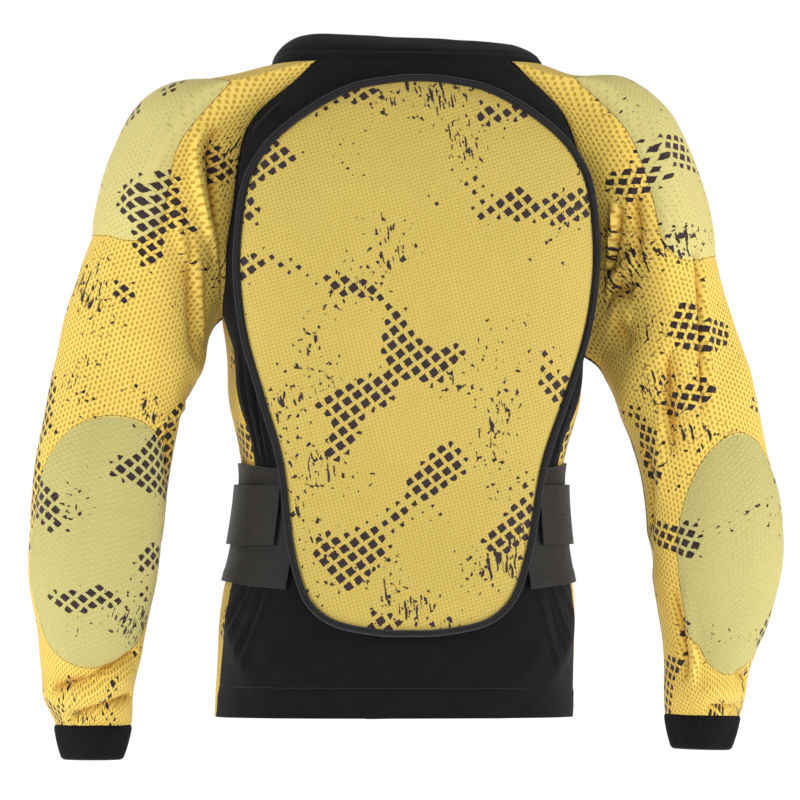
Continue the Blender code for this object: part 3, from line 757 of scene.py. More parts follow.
def flat_grid(grid):
    """The places of a grid's points on flat cloth: across by the length of each row from its
    middle, and along by the length of each column."""
    steps = np.linalg.norm(np.diff(grid, axis=1), axis=-1)
    across = np.concatenate([np.zeros((len(grid), 1)), np.cumsum(steps, axis=1)], axis=1)
    across -= across[:, -1:] / 2
    steps = np.linalg.norm(np.diff(grid, axis=0), axis=-1).mean(axis=1)
    along = np.concatenate([[0.0], np.cumsum(steps)])
    return np.stack(np.broadcast_arrays(across, along[:, None]), axis=-1)


def knit_grid(grid, normal, down_arm, step=5):
    """The places of a sleeve's points on its knit, whose wales run down the arm as far as the
    surface lets them. The knit is cut open along the inner arm."""
    coarse, facing = grid[::step, ::step], normal[::step, ::step]
    wale = down_arm - facing * np.sum(facing * down_arm, axis=-1, keepdims=True)
    certain = np.linalg.norm(wale, axis=-1)
    wale = unit(wale)
    course = np.cross(facing, wale)
    rows, columns = coarse.shape[:2]
    number = np.arange(rows * columns).reshape(rows, columns)
    pairs = ((np.s_[:, :-1], np.s_[:, 1:]), (np.s_[:-1], np.s_[1:]))
    balance = np.zeros((rows * columns, rows * columns))
    wanted = np.zeros((rows * columns, 2))
    for first, second in pairs:
        run = coarse[second] - coarse[first]
        pull = ((certain[first] + certain[second]) / 2 + 0.05).ravel()
        reach = [np.sum(run * (way[first] + way[second]) / 2, axis=-1) for way in (course, wale)]
        reach = np.stack(reach, axis=-1).reshape(-1, 2) * pull[:, None]
        a, b = number[first].ravel(), number[second].ravel()
        for one, other, sign in ((a, b, -1), (b, a, 1)):
            np.add.at(balance, (one, one), pull)
            np.add.at(balance, (one, other), -pull)
            np.add.at(wanted, one, sign * reach)
    balance[0, 0] += 1
    places = np.linalg.solve(balance, wanted).reshape(rows, columns, 2)
    row = np.arange(grid.shape[0])[:, None] / step
    column = np.arange(grid.shape[1])[None, :] / step
    return sample(places, row, column)


def sample(table, row, column):
    """The values of a table between its rows and columns."""
    row, column = np.broadcast_arrays(row, column)
    top = np.clip(np.floor(row).astype(int), 0, table.shape[0] - 2)
    left = np.clip(np.floor(column).astype(int), 0, table.shape[1] - 2)
    down, across = (row - top)[..., None], (column - left)[..., None]
    upper = blend(table[top, left], table[top, left + 1], across)
    lower = blend(table[top + 1, left], table[top + 1, left + 1], across)
    return blend(upper, lower, down)


# Finishes


class Finish:
    """A procedural material, built node by node. Values are numbers, colours or sockets."""

    def __init__(self, name, roughness, sheen=0.0, sheen_tint=(1, 1, 1)):
        self.made = bpy.data.materials.new(name)
        self.made.use_nodes = True
        self.tree = self.made.node_tree
        self.shader = self.tree.nodes["Principled BSDF"]
        self.shader.inputs["Roughness"].default_value = roughness
        self.shader.inputs["Sheen Weight"].default_value = sheen
        self.shader.inputs["Sheen Roughness"].default_value = 0.4
        self.shader.inputs["Sheen Tint"].default_value = (*sheen_tint, 1)
        self.shader.inputs["Specular IOR Level"].default_value = 0.25

    def put(self, socket, value):
        """Links a socket to another, or sets its value."""
        if isinstance(value, bpy.types.NodeSocket):
            self.tree.links.new(value, socket)
        elif hasattr(value, "__len__") and len(value) == 3 and socket.type == "RGBA":
            socket.default_value = (*value, 1)
        else:
            socket.default_value = value

    def node(self, kind, inputs=(), **settings):
        """A node with its settings and inputs."""
        made = self.tree.nodes.new("ShaderNode" + kind)
        for key, value in settings.items():
            setattr(made, key, value)
        for key, value in dict(inputs).items():
            self.put(made.inputs[key], value)
        return made

    def math(self, operation, *values):
        """The result of one sum on sockets or numbers."""
        return self.node("Math", dict(enumerate(values)), operation=operation).outputs[0]

    def step(self, value, low, high, start=0.0, end=1.0):
        """A soft step from start to end while the value goes from low to high."""
        inputs = {"Value": value, "From Min": low, "From Max": high, "To Min": start, "To Max": end}
        made = self.node("MapRange", inputs, interpolation_type="SMOOTHSTEP")
        return made.outputs["Result"]

    def blend(self, share, first, second):
        """A number between two others."""
        made = self.node("Mix", {0: share, 2: first, 3: second}, data_type="FLOAT")
        return made.outputs[0]

    def mix(self, share, first, second):
        """A colour between two others."""
        made = self.node("Mix", {0: share, 6: first, 7: second}, data_type="RGBA")
        return made.outputs[2]

    def noise(self, place, scale, detail=2.0, roughness=0.5):
        """Cloudy noise from 0 to 1."""
        inputs = {"Vector": place, "Scale": scale, "Detail": detail, "Roughness": roughness}
        return self.node("TexNoise", inputs).outputs["Fac"]

    def cloth(self, name="Cloth"):
        """The place on the flat cloth, in metres, or the place round and along the piece."""
        return self.node("UVMap", uv_map=name).outputs["UV"]

    def mapped(self, place, scale, turn=0.0, shift=(0, 0, 0)):
        """A place that is scaled, turned and shifted."""
        inputs = {"Vector": place, "Scale": scale, "Location": shift}
        inputs["Rotation"] = (0, 0, math.radians(turn))
        return self.node("Mapping", inputs).outputs["Vector"]

    def parts(self, place):
        """The two parts of a place."""
        made = self.node("SeparateXYZ", {"Vector": place})
        return made.outputs["X"], made.outputs["Y"]

    def vector(self, operation, *values):
        """The result of one sum on vectors."""
        made = self.node("VectorMath", dict(enumerate(values)), operation=operation)
        return made.outputs["Value" if operation in ("LENGTH", "DOT_PRODUCT") else "Vector"]

    def lattice(self, place, pitch, size, turn=0.0, pointed=False):
        """The distance to the nearest of staggered marks, 1 on their outline. The pitch and the
        size of the marks are given across and along. Pointed marks are lozenges."""
        turned = self.mapped(place, (1, 1, 1), turn)
        half = [length / 2 for length in pitch]
        reaches = []
        for shift in (0, 1):
            moved = self.vector("ADD", turned, (half[0] * shift, half[1] * shift, 0))
            cell = self.vector("WRAP", moved, (half[0], half[1], 1), (-half[0], -half[1], -1))
            scaled = self.vector("MULTIPLY", cell, (2 / size[0], 2 / size[1], 0))
            if pointed:
                scaled = self.vector("ABSOLUTE", scaled)
                reaches.append(self.vector("DOT_PRODUCT", scaled, (1, 1, 0)))
            else:
                reaches.append(self.vector("LENGTH", scaled))
        return self.math("MINIMUM", *reaches)

    def relief(self, height, depth, strength=1.0, below=None):
        """Puts a height from 0 to 1 on the surface as relief of that depth in metres."""
        inputs = {"Height": height, "Distance": depth, "Strength": strength}
        if below is not None:
            inputs["Normal"] = below
        bump = self.node("Bump", inputs).outputs["Normal"]
        self.put(self.shader.inputs["Normal"], bump)
        return bump


def print_marks(finish, place, shift):
    """Where the dark print lies, from 0 to 1: fields of small lozenges that shrink at their
    edges, slanting brush strokes and spatter."""
    rough = finish.node("TexNoise", {"Vector": place, "Scale": 700.0, "Detail": 2.0})
    wander = finish.vector("MULTIPLY", rough.outputs["Color"], (PRINT_WANDER, PRINT_WANDER, 0))
    moved = finish.vector("ADD", place, wander)
    fields = finish.noise(finish.mapped(place, (1, 1, 1), 0, shift), FIELD_SCALE, 1.0)
    size = finish.step(fields, 0.535, 0.63)
    lozenge = finish.lattice(moved, PRINT_PITCH, PRINT_SIZE, PRINT_TURN, True)
    marks = finish.step(finish.math("SUBTRACT", size, lozenge), 0.0, 0.08)
    strokes = finish.noise(finish.mapped(moved, STROKE_SCALE, STROKE_TURN, shift), 1.0, 1.5)
    where = finish.noise(finish.mapped(place, (1, 1, 1), 0, (7.3, 2.1, 0)), 13.0, 1.0)
    stroke_limit = finish.step(where, 0.53, 0.70, 0.86, 0.55)
    stroke = finish.step(finish.math("SUBTRACT", strokes, stroke_limit), 0.0, 0.03)
    spots = finish.noise(finish.mapped(moved, (1, 0.8, 1), 12, shift), SPATTER_SCALE, 1.5)
    spot_limit = finish.step(where, 0.40, 0.64, 0.80, 0.62)
    spatter = finish.step(finish.math("SUBTRACT", spots, spot_limit), 0.0, 0.03)
    return finish.math("MAXIMUM", finish.math("MAXIMUM", marks, stroke), spatter)


def pad_distance(finish, pad):
    """The distance from a pad's middle on its sleeve, 1 on its outline."""
    around_sleeve, along = finish.parts(finish.cloth("Place"))
    turn = finish.math("MULTIPLY_ADD", around_sleeve, 360.0, SLEEVE_SEAM - pad[PAD_ANGLE])
    across = finish.math("DIVIDE", finish.math("WRAP", turn, 180.0, -180.0), pad[PAD_SPREAD])
    ring = finish.math("MULTIPLY_ADD", along, LAST_RING - FIRST_RING, FIRST_RING - pad[PAD_RING])
    down = finish.math("DIVIDE", ring, pad[PAD_RINGS])
    square = finish.math("MULTIPLY_ADD", across, across, finish.math("MULTIPLY", down, down))
    return finish.math("SQRT", square)


def mesh_finish(name, look, side=None):
    """Spacer mesh: staggered holes in knitted yarn, darkened inside by painted shade, a dark print,
    and on a sleeve the paler places where the pads show through and a painted shade of deeper
    orange in the furrows of its folds."""
    finish = Finish(name, 0.72, 0.25, (1.0, 0.86, 0.5))
    place = finish.cloth()
    cloud = finish.noise(place, 22.0, 3.0)
    yarn = finish.mix(cloud, look.mesh_yellow, [c * 0.90 for c in look.mesh_yellow])
    # The holes are darkened with painted shade; over the pads the foam shows through them.
    hole_shade_and_foam = [c * t for c, t in zip(look.mesh_yellow, HOLE_SHADE_TINT)]
    pitch = (look.hole_pitch, look.hole_pitch * HOLE_ROWS)
    hole = finish.lattice(place, pitch, [look.hole_pitch * share for share in HOLE_SIZE])
    solid = finish.step(hole, *HOLE_EDGE)
    if side:
        shoulder = pad_distance(finish, SHOULDER_PADS[side])
        elbow = pad_distance(finish, ELBOW_PADS[side])
        covered = finish.step(finish.math("MINIMUM", shoulder, elbow), 1.0, 0.98)
        on_elbow = finish.step(elbow, 1.0, 0.98)
        net = finish.lattice(place, pitch, [length * 0.86 for length in pitch], 0.0, True)
        smooth = finish.step(hole, 0.2, 0.7, 0.45, 1.0)
        drawn = finish.step(net, 0.72, 1.05, 0.2, 1.0)
        solid = finish.blend(covered, solid, finish.blend(on_elbow, smooth, drawn))
        yarn = finish.mix(covered, yarn, look.pad_yellow)
        hole_shade_and_foam = finish.mix(covered, hole_shade_and_foam, look.pad_green)
        # Painted shade: the yarn and the holes turn a deeper orange in the furrows of the folds.
        fold_shade, _ = finish.parts(finish.cloth("Hollow"))
        yarn = finish.mix(fold_shade, yarn, look.fold_shade_orange)
        hole_shade_and_foam = finish.mix(fold_shade, hole_shade_and_foam, [c * 0.5 for c in look.fold_shade_orange])
    marks = print_marks(finish, place, PRINT_SHIFTS.get(side, FRONT_PRINT_SHIFT))
    printed = finish.mix(marks, yarn, look.print_colour)
    hole_shade_colour = finish.mix(marks, hole_shade_and_foam, [c * 0.6 for c in look.print_colour])
    colour = finish.mix(solid, hole_shade_colour, printed)
    if side:
        around_sleeve, along = finish.parts(finish.cloth("Place"))
        from_seam = finish.math("PINGPONG", around_sleeve, 0.5)
        edge = finish.math("MINIMUM", along, from_seam)
        near = finish.math("MULTIPLY_ADD", hole, -0.0016, edge)
        colour = finish.mix(finish.step(near, 0.0010, 0.0020), look.black, colour)
    finish.put(finish.shader.inputs["Base Color"], colour)
    fine = finish.noise(place, 1400.0, 2.0)
    height = finish.math("MULTIPLY_ADD", fine, 0.18, solid)
    finish.relief(height, 0.0011, 0.9)
    return finish.made


def plate_finish(look):
    """The fine mesh over the back protector, with small dimples darkened by painted shade, and the
    dark print.
    """
    finish = Finish("plate_mesh", 0.66, 0.2, (1.0, 0.86, 0.5))
    place = finish.cloth()
    cloud = finish.noise(place, 16.0, 3.0)
    yarn = finish.mix(cloud, look.plate_yellow, [c * 0.92 for c in look.plate_yellow])
    pitch = (look.dimple_pitch, look.dimple_pitch * DIMPLE_ROWS)
    size = [look.dimple_pitch * share for share in DIMPLE_SIZE]
    dimple = finish.step(finish.lattice(place, pitch, size, DIMPLE_TURN), 0.2, 1.6)
    marks = print_marks(finish, finish.mapped(place, (0.85, 0.85, 1), -8), PLATE_PRINT_SHIFT)
    printed = finish.mix(marks, yarn, look.print_colour)
    # The dimples are darkened with painted shade.
    dimple_shade = [c * t for c, t in zip(look.plate_yellow, DIMPLE_SHADE_TINT)]
    shaded_dimple = finish.mix(marks, dimple_shade, [c * 0.7 for c in look.print_colour])
    finish.put(finish.shader.inputs["Base Color"], finish.mix(dimple, shaded_dimple, printed))
    fine = finish.noise(place, 1500.0, 2.0)
    finish.relief(finish.math("MULTIPLY_ADD", fine, 0.25, dimple), 0.0007, 0.8)
    return finish.made


def jersey_finish(name, colour, pitch=0.0011, sheen=0.10):
    """Fine stretch knit with faint wales and a soft sheen."""
    finish = Finish(name, 0.84, sheen, (0.9, 0.9, 1.0))
    finish.shader.inputs["Specular IOR Level"].default_value = 0.08
    place = finish.cloth()
    cloud = finish.noise(place, 60.0, 4.0)
    finish.put(finish.shader.inputs["Base Color"],
               finish.mix(cloud, colour, [c * 1.7 for c in colour]))
    stitch = finish.step(finish.lattice(place, (pitch, pitch * 1.4), (pitch, pitch)), 0.2, 0.9)
    fuzz = finish.noise(place, 2600.0, 2.0)
    finish.relief(finish.math("MULTIPLY_ADD", fuzz, 0.4, stitch), 0.00022, 0.8)
    return finish.made


def elastic_finish(name, look, colour):
    """Woven elastic: fine cords along the band, crossed by finer threads; painted shade between
    cords.
    """
    finish = Finish(name, 0.62, 0.15)
    place = finish.cloth()
    across, along = finish.parts(place)
    cord = finish.math("SINE", finish.math("MULTIPLY", along, 2 * math.pi / look.elastic_pitch))
    thread = finish.math("SINE", finish.math("MULTIPLY", across, 2 * math.pi / 0.0009))
    woven = finish.math("MULTIPLY_ADD", thread, 0.35, cord)
    cloud = finish.noise(place, 45.0, 4.0)
    # The grooves between the cords are darkened with painted shade.
    shade = finish.mix(finish.step(woven, -1.3, 1.3), [c * 0.72 for c in colour], colour)
    finish.put(finish.shader.inputs["Base Color"],
               finish.mix(cloud, shade, [c * 1.25 for c in colour]))
    finish.relief(finish.step(woven, -1.3, 1.3), 0.00025, 0.8)
    return finish.made


def foam_finish(look):
    """Closed-cell foam with small pores."""
    finish = Finish("pad_foam", 0.85)
    place = finish.node("TexCoord").outputs["Object"]
    pores = finish.noise(place, 900.0, 3.0)
    dark = [c * 0.7 for c in look.pad_yellow]
    finish.put(finish.shader.inputs["Base Color"], finish.mix(pores, dark, look.pad_yellow))
    finish.relief(pores, 0.0003, 0.7)
    return finish.made


def thread_finish(name, colour):
    """Twisted sewing thread."""
    finish = Finish(name, 0.6, 0.3)
    place = finish.node("TexCoord").outputs["Object"]
    twist = finish.noise(finish.mapped(place, (1, 1, 3)), 1800.0, 1.0)
    finish.put(finish.shader.inputs["Base Color"],
               finish.mix(twist, [c * 0.6 for c in colour], colour))
    finish.relief(twist, 0.0002, 0.6)
    return finish.made


def floor_finish(look):
    """A plain pale floor with the faintest mottling and a soft glow."""
    finish = Finish("pale_floor", 0.9)
    cloud = finish.noise(finish.node("TexCoord").outputs["Object"], 0.7, 2.0)
    pale = look.floor_colour
    finish.put(finish.shader.inputs["Base Color"],
               finish.mix(cloud, pale, [c * 0.985 for c in pale]))
    finish.shader.inputs["Emission Color"].default_value = (1, 1, 1, 1)
    finish.shader.inputs["Emission Strength"].default_value = FLOOR_GLOW
    return finish.made


# Sizes and colours that can be set in the sidebar


def colour_property(name, description, default):
    return FloatVectorProperty(
        name=name, description=description, default=default, subtype="COLOR", size=3,
        min=0.0, max=1.0)


def length_property(name, description, default):
    return FloatProperty(
        name=name, description=description, default=default, unit="LENGTH", min=0.0001)


class JacketLook(bpy.types.PropertyGroup):
    """Colours and fine sizes of the jacket's cloth."""

    mesh_yellow: colour_property("Mesh", "Yarn of the spacer mesh", (0.90, 0.65, 0.13))
    plate_yellow: colour_property("Plate cover", "Fine mesh on the plate", (0.61, 0.465, 0.108))
    pad_yellow: colour_property("Pads", "Mesh stretched over the pads", (0.62, 0.545, 0.195))
    pad_green: colour_property("Foam", "Foam seen through the mesh", (0.50, 0.46, 0.165))
    # Painted shade in the furrows of the sleeves' folds.
    fold_shade_orange: colour_property("Folds", "Yarn deep in the mesh's folds", (0.62, 0.30, 0.025))
    print_colour: colour_property("Print", "Dark print on the mesh", (0.034, 0.018, 0.022))
    black: colour_property("Jersey", "Black stretch jersey", (0.0065, 0.0058, 0.0065))
    rib_black: colour_property("Ribs", "Black rib knit", (0.0065, 0.0055, 0.0060))
    tape_black: colour_property("Tape", "Black binding tape", (0.014, 0.013, 0.014))
    charcoal: colour_property("Elastic", "Dark grey elastic", (0.0135, 0.0122, 0.0112))
    thread_grey: colour_property("Thread", "Thread on the black cloth", (0.045, 0.043, 0.045))
    floor_colour: colour_property("Floor", "Pale floor", (0.90, 0.90, 0.90))
    hole_pitch: length_property("Hole pitch", "From hole to hole across the mesh", 0.0070)
    dimple_pitch: length_property("Dimple pitch", "From dimple to dimple on the plate", 0.0046)
    elastic_pitch: length_property("Cord pitch", "From cord to cord of the elastic", 0.0017)
    stitch_pitch: length_property("Stitch pitch", "From stitch to stitch", 0.0030)
    stitch_width: length_property("Stitch width", "Thickness of the sewing thread", 0.0006)


def current_look():
    return bpy.context.scene.jacket_look


# Pieces


def panel_rows(count):
    """The rows of a body panel from the hem up, as shares from the collar seam down."""
    return 1 - np.linspace(0, 1, count + 1)


def panel_edge(side, face, row):
    """A body panel's angle at its edge and its share down, for each row."""
    pit = armpit_down(side)
    upper = np.clip(row / ARMPIT_ROW, 0, 1)
    lower = np.clip((row - ARMPIT_ROW) / (1 - ARMPIT_ROW), 0, 1)
    down = np.where(row <= ARMPIT_ROW, upper * pit, blend(pit, 1.0, lower))
    raglan = seam_angle(side, face, upper)
    side_seam = SIDES[side] * np.radians(read(SIDE_SEAM, lower))
    return np.where(row <= ARMPIT_ROW, raglan, side_seam), down


def tuck_edges(grid, normal, sides="u", depth=0.0011, reach=0.0035):
    """Lowers the cloth where it is sewn in, so that each seam lies in a shallow valley."""
    steps = np.linalg.norm(np.diff(grid, axis=1), axis=-1)
    across = np.concatenate([np.zeros((len(grid), 1)), np.cumsum(steps, axis=1)], axis=1)
    steps = np.linalg.norm(np.diff(grid, axis=0), axis=-1)
    along = np.concatenate([np.zeros((1, grid.shape[1])), np.cumsum(steps, axis=0)])
    near = {
        "u": np.minimum(across, across[:, -1:] - across),
        "start": across, "end": across[:, -1:] - across,
        "top": along[-1:] - along, "bottom": along,
    }
    for key in sides.split():
        grid = grid - normal * (depth * np.exp(-((near[key] / reach) ** 2)))[..., None]
    return grid


@functools.cache
def sewn_back():
    """The back cloth's inner surface as it is sewn, with its normals."""
    row = panel_rows(BACK_GRID[1])
    right, right_down = panel_edge("right", "back", row)
    left, left_down = panel_edge("left", "back", row)
    share = np.linspace(0, 1, BACK_GRID[0] + 1)[None, :]
    inset = SEAM_GAP / CHEST_WIDTH
    angle = blend(right[:, None] + inset, left[:, None] - inset, share)
    down = blend(right_down[:, None], left_down[:, None], share)
    down = np.maximum(down, GAP / BACK_LENGTH)
    grid = body_point(angle, down)
    normal = grid_normals(grid, False)
    lift = waves(grid, BACK_WAVES, 4.0)
    lift = lift + crease_height(BODY_CREASES, BODY_SCALE, np.degrees(angle), down)
    low = eased((down - 1 + HEM_DEPTH / BACK_LENGTH) * 60)
    pucker = np.sin(np.degrees(angle) * HEM_PUCKERS) * PUCKER_HEIGHT * np.abs(np.sin(angle))
    grid = grid + normal * (lift + low * pucker)[..., None]
    return tuck_edges(grid, normal, "u top"), normal


def stretch_back():
    """The black yoke, sides and lower back, from seam to seam."""
    look = current_look()
    grid, _ = sewn_back()
    height = np.linalg.norm(grid - grid[0:1], axis=-1)
    stitched = np.exp(-(((height - HEM_DEPTH) / 0.0016) ** 2))
    thickness = CLOTH + STITCH_DENT * (height < HEM_DEPTH) - STITCH_DENT * stitched
    mesh = sew("stretch_back", grid, thickness, "panel", flat_grid(grid))
    finish = jersey_finish("black_stretch", look.black)
    piece = keep("stretch_back", mesh, finish, ["back_panel"])


def zip_angle():
    """Half of the angle that the zip takes at the front."""
    return math.asin((ZIP_WIDTH / CHEST_WIDTH) ** (ROUNDNESS / 2))


def mesh_fronts():
    """The mesh panels from the raglan and side seams to the zip."""
    finish = mesh_finish("front_mesh", current_look())
    row = panel_rows(FRONT_GRID[1])
    share = np.linspace(0, 1, FRONT_GRID[0] + 1)[None, :]
    for side, sign in SIDES.items():
        edge, down = panel_edge(side, "front", row)
        inset = sign * SEAM_GAP / CHEST_WIDTH
        angle = blend(edge[:, None] + inset, sign * (math.pi - zip_angle()), share)
        grid = body_point(angle, np.maximum(down[:, None], GAP / BACK_LENGTH) + 0 * share)
        normal = grid_normals(grid, False)
        grid = grid + normal * waves(grid, FRONT_WAVES, 9.0)[..., None]
        grid = tuck_edges(grid, normal, "start top")
        name = f"mesh_front_{side}"
        mesh = sew(name, grid, CLOTH, "panel", flat_grid(grid))
        piece = keep(name, mesh, finish, [f"front_panel_{side}"])


def body_normal_at(angle, down):
    """The outward normal of the body cloth at places away from its top and bottom."""
    step_a, step_d = 0.01, 0.002
    across = body_point(angle + step_a, down) - body_point(angle - step_a, down)
    along = body_point(angle, down + step_d) - body_point(angle, down - step_d)
    normal = unit(np.cross(across, along))
    outward = vectors(np.sin(angle), np.cos(angle), 0)
    return normal * np.sign(np.sum(normal * outward, axis=-1, keepdims=True))


def front_zip():
    """The closed zip: its tape, the interlocked teeth and a plain slider at the top."""
    look = current_look()
    columns, rows = ZIP_GRID
    half = zip_angle() - 2 * SEAM_GAP / CHEST_WIDTH
    angle = math.pi + np.linspace(-half, half, columns + 1)[None, :] + np.zeros((rows + 1, 1))
    down = np.maximum(panel_rows(rows), GAP / BACK_LENGTH)[:, None] + 0 * angle
    grid = body_point(angle, down)
    mesh = sew("zip_tape", grid, CLOTH * 0.6, "panel", flat_grid(grid))
    finish = jersey_finish("zip_tape", look.tape_black, 0.0009)
    piece = keep("zip_tape", mesh, finish, ["front_zip"])
    middle = body_point(np.full(400, math.pi), np.linspace(0.004, 0.996, 400), CLOTH * 0.6)
    steps = np.linalg.norm(np.diff(middle, axis=0), axis=-1)
    length = np.concatenate([[0.0], np.cumsum(steps)])
    bm = bmesh.new()
    for number, place in enumerate(np.arange(0.002, length[-1] - 0.001, TOOTH_PITCH)):
        at = Vector([np.interp(place, length, middle[:, axis]) for axis in range(3)])
        shift = TOOTH_OFFSET if number % 2 else -TOOTH_OFFSET
        matrix = Matrix.Translation(at + Vector((shift, -0.0004, 0)))
        matrix = matrix @ Matrix.Diagonal((*TOOTH_SIZE, 1))
        bmesh.ops.create_cube(bm, size=1.0, matrix=matrix)
    slider = Matrix.Translation(Vector(middle[6]) + Vector((0, -0.0018, -0.004)))
    made = bmesh.ops.create_cube(
        bm, size=1.0, matrix=slider @ Matrix.Diagonal((*SLIDER_SIZE, 1)))
    edges = list({edge for vert in made["verts"] for edge in vert.link_edges})
    bmesh.ops.bevel(
        bm, geom=edges, offset=SLIDER_BEVEL, segments=2, profile=0.5, affect="EDGES", material=-1)
    mesh = bpy.data.meshes.new("zip_teeth")
    bm.to_mesh(mesh)
    bm.free()
    teeth = Finish("zip_teeth", 0.45)
    place = teeth.node("TexCoord").outputs["Object"]
    cloud = teeth.noise(place, 700.0, 2.0)
    teeth.put(teeth.shader.inputs["Base Color"],
              teeth.mix(cloud, look.tape_black, [c * 2.2 for c in look.tape_black]))
    teeth.relief(cloud, 0.0001)
    keep("zip_teeth", mesh, teeth.made, [], 30)


def seam_normal_at(side, turn, sleeve_edge):
    """The way both cloths are thickened along the raglan seam."""
    angle, down = root_place(side, turn)
    on_body = body_normal_at(angle, np.clip(down, 0.004, 0.99))
    neck = unit(vectors(np.sin(angle), np.cos(angle), 0.6))
    near = around(turn)
    share = eased((np.abs(near) - SEAM_START) / 10)[:, None]
    return unit(blend(neck, unit(on_body + sleeve_edge), share))


@functools.cache
def sewn_sleeve(side):
    """A sleeve's inner surface as it is sewn, from the raglan seam to the cuff, with its
    normals and the share of painted shade that each point gets by how deep in a crease it lies."""
    columns, rows = SLEEVE_GRID
    turn = SLEEVE_SEAM + np.linspace(0, 360, columns + 1)[None, :]
    ring = blend(FIRST_RING, LAST_RING, np.linspace(0, 1, rows + 1))[:, None]
    turn, ring = np.broadcast_arrays(turn, ring)
    grid = sleeve_point(side, turn, ring)
    grid[:, -1] = grid[:, 0]
    normal = grid_normals(grid, True)
    crumple = sum(waves(grid, kind, SLEEVE_WAVE_SEEDS[side]) for kind in SLEEVE_WAVES)
    crease = crease_height(SLEEVE_CREASES[side], SLEEVE_SCALE, turn, ring)
    calm = 1 - np.clip(pad_lift(side, turn, ring) / ELBOW_PAD_RISE, 0, 1) * PAD_CALM
    crease = crease * eased(ring / 0.4) * calm
    lift = crumple * eased(ring) * calm + crease * CREASE_STRENGTH
    grid = grid + normal * lift[..., None]
    grid = tuck_edges(grid, normal, "bottom", 0.0010, 0.0030)
    grid[:, -1] = grid[:, 0]
    normal = grid_normals(grid, True)
    edge = seam_normal_at(side, turn[0], normal[0])
    near = np.exp(-((ring / 0.25) ** 2))[..., None]
    normal = unit(blend(normal, edge[None], near))
    normal[:, -1] = normal[:, 0]
    # Painted shade: the deeper a point lies in a crease, the more of the deeper orange it gets.
    fold_shade = np.clip(-crease / FOLD_SHADE_DEPTH, 0, 1) * FOLD_SHADE_TINT
    return grid, normal, fold_shade


def on_sleeve(side, turn, ring):
    """Points on the outside of the sewn sleeve, with its outward directions."""
    grid, normal, _ = sewn_sleeve(side)
    column = (turn - SLEEVE_SEAM) % 360 / 360 * SLEEVE_GRID[0]
    row = (ring - FIRST_RING) / (LAST_RING - FIRST_RING) * SLEEVE_GRID[1]
    outward = unit(sample(normal, row, column))
    return sample(grid, row, column) + outward * CLOTH, outward


def mesh_sleeves():
    """The raglan sleeves of spacer mesh, pushed out by the pads under them."""
    look = current_look()
    for side, sign in SIDES.items():
        grid, normal, fold_shade = sewn_sleeve(side)
        down_arm = vectors(sign * ARM_LEAN, 0, -1)
        knit = knit_grid(grid, normal, down_arm)
        name = f"mesh_sleeve_{side}"
        mesh = sew(name, grid, CLOTH, "tube", knit, normal=normal, fold_shade=fold_shade)
        finish = mesh_finish(name, look, side)
        piece = keep(name, mesh, finish, [f"sleeve_{side}"])


def rib_cuffs():
    """The rib cuffs that carry the sleeves' ends on."""
    look = current_look()
    finish = jersey_finish("rib_knit", look.rib_black, 0.0013)
    columns = CUFF_RIBS * 4
    turn = SLEEVE_SEAM + np.linspace(0, 360, columns + 1)[None, :]
    share = np.linspace(0, 1, CUFF_ROWS + 1)[:, None]
    for side in SIDES:
        whole, height = np.broadcast_arrays(turn, share)
        end = np.full_like(whole, LAST_RING)
        start = sleeve_point(side, whole, end)
        outward = ring_point(side, whole, end)[1]
        taken = CUFF_TAKE_IN * (height - 0.12 * np.sin(math.pi * height))
        down = np.array([0, -0.25, -1]) / math.hypot(0.25, 1)
        grid = start + down * (GAP + CUFF_HEIGHT * height)[..., None]
        grid = grid - outward * taken[..., None]
        grid[:, -1] = grid[:, 0]
        rib = np.cos(np.radians(whole) * CUFF_RIBS)
        rounded = np.sqrt(np.clip(1 - (2 * height - 1) ** 12, 0.0, 1))
        thickness = RIB_CLOTH * (0.55 + 0.45 * rounded) + rib * RIB_RISE * rounded
        name = f"rib_cuff_{side}"
        mesh = sew(name, grid, thickness, "tube", flat_grid(grid))
        piece = keep(name, mesh, finish, [f"cuff_{side}"], 80)


@functools.cache
def sewn_collar():
    """The collar's inner surface, with its normals and its thickness."""
    columns, rows = COLLAR_GRID
    angle = np.radians(np.linspace(0, 360, columns + 1))[None, :]
    share = np.linspace(0, 1, rows + 1)[:, None]
    angle, share = np.broadcast_arrays(angle, share)
    height = COLLAR_HEIGHT * (1 + COLLAR_TILT * np.sin(angle))
    inward = vectors(-np.sin(angle), -np.cos(angle), 0)
    lean = COLLAR_TAKE_IN * share ** 1.6
    base = body_point(angle, 0 * share) - vectors(0, 0, SEAM_GAP)
    grid = base + inward * lean[..., None]
    grid = grid + vectors(0, 0, height * np.sin(share * math.pi / 2))
    upward = unit(vectors(0, 0, 1) - inward * 0.5)
    neck = unit(vectors(np.sin(angle), np.cos(angle), 0.6))
    normal = unit(blend(neck, upward, eased((share - 0.7) / 0.3)[..., None]))
    grid = grid + normal * waves(grid, COLLAR_WAVES, 3.0)[..., None]
    grid[:, -1] = grid[:, 0]
    normal[:, -1] = normal[:, 0]
    stitched = np.exp(-(((share - COLLAR_STITCH_ROW / rows) / 0.05) ** 2))
    rounded = np.sqrt(np.clip(1 - share ** 10, 0.0, 1))
    return grid, normal, RIB_CLOTH * (0.45 + 0.55 * rounded) - STITCH_DENT * stitched


def jersey_collar():
    """The jersey band round the neck opening, folded over at its top."""
    look = current_look()
    grid, normal, thickness = sewn_collar()
    mesh = sew("jersey_collar", grid, thickness, "tube", flat_grid(grid), normal=normal)
    finish = jersey_finish("collar_jersey", look.black)
    piece = keep("jersey_collar", mesh, finish, ["collar"])


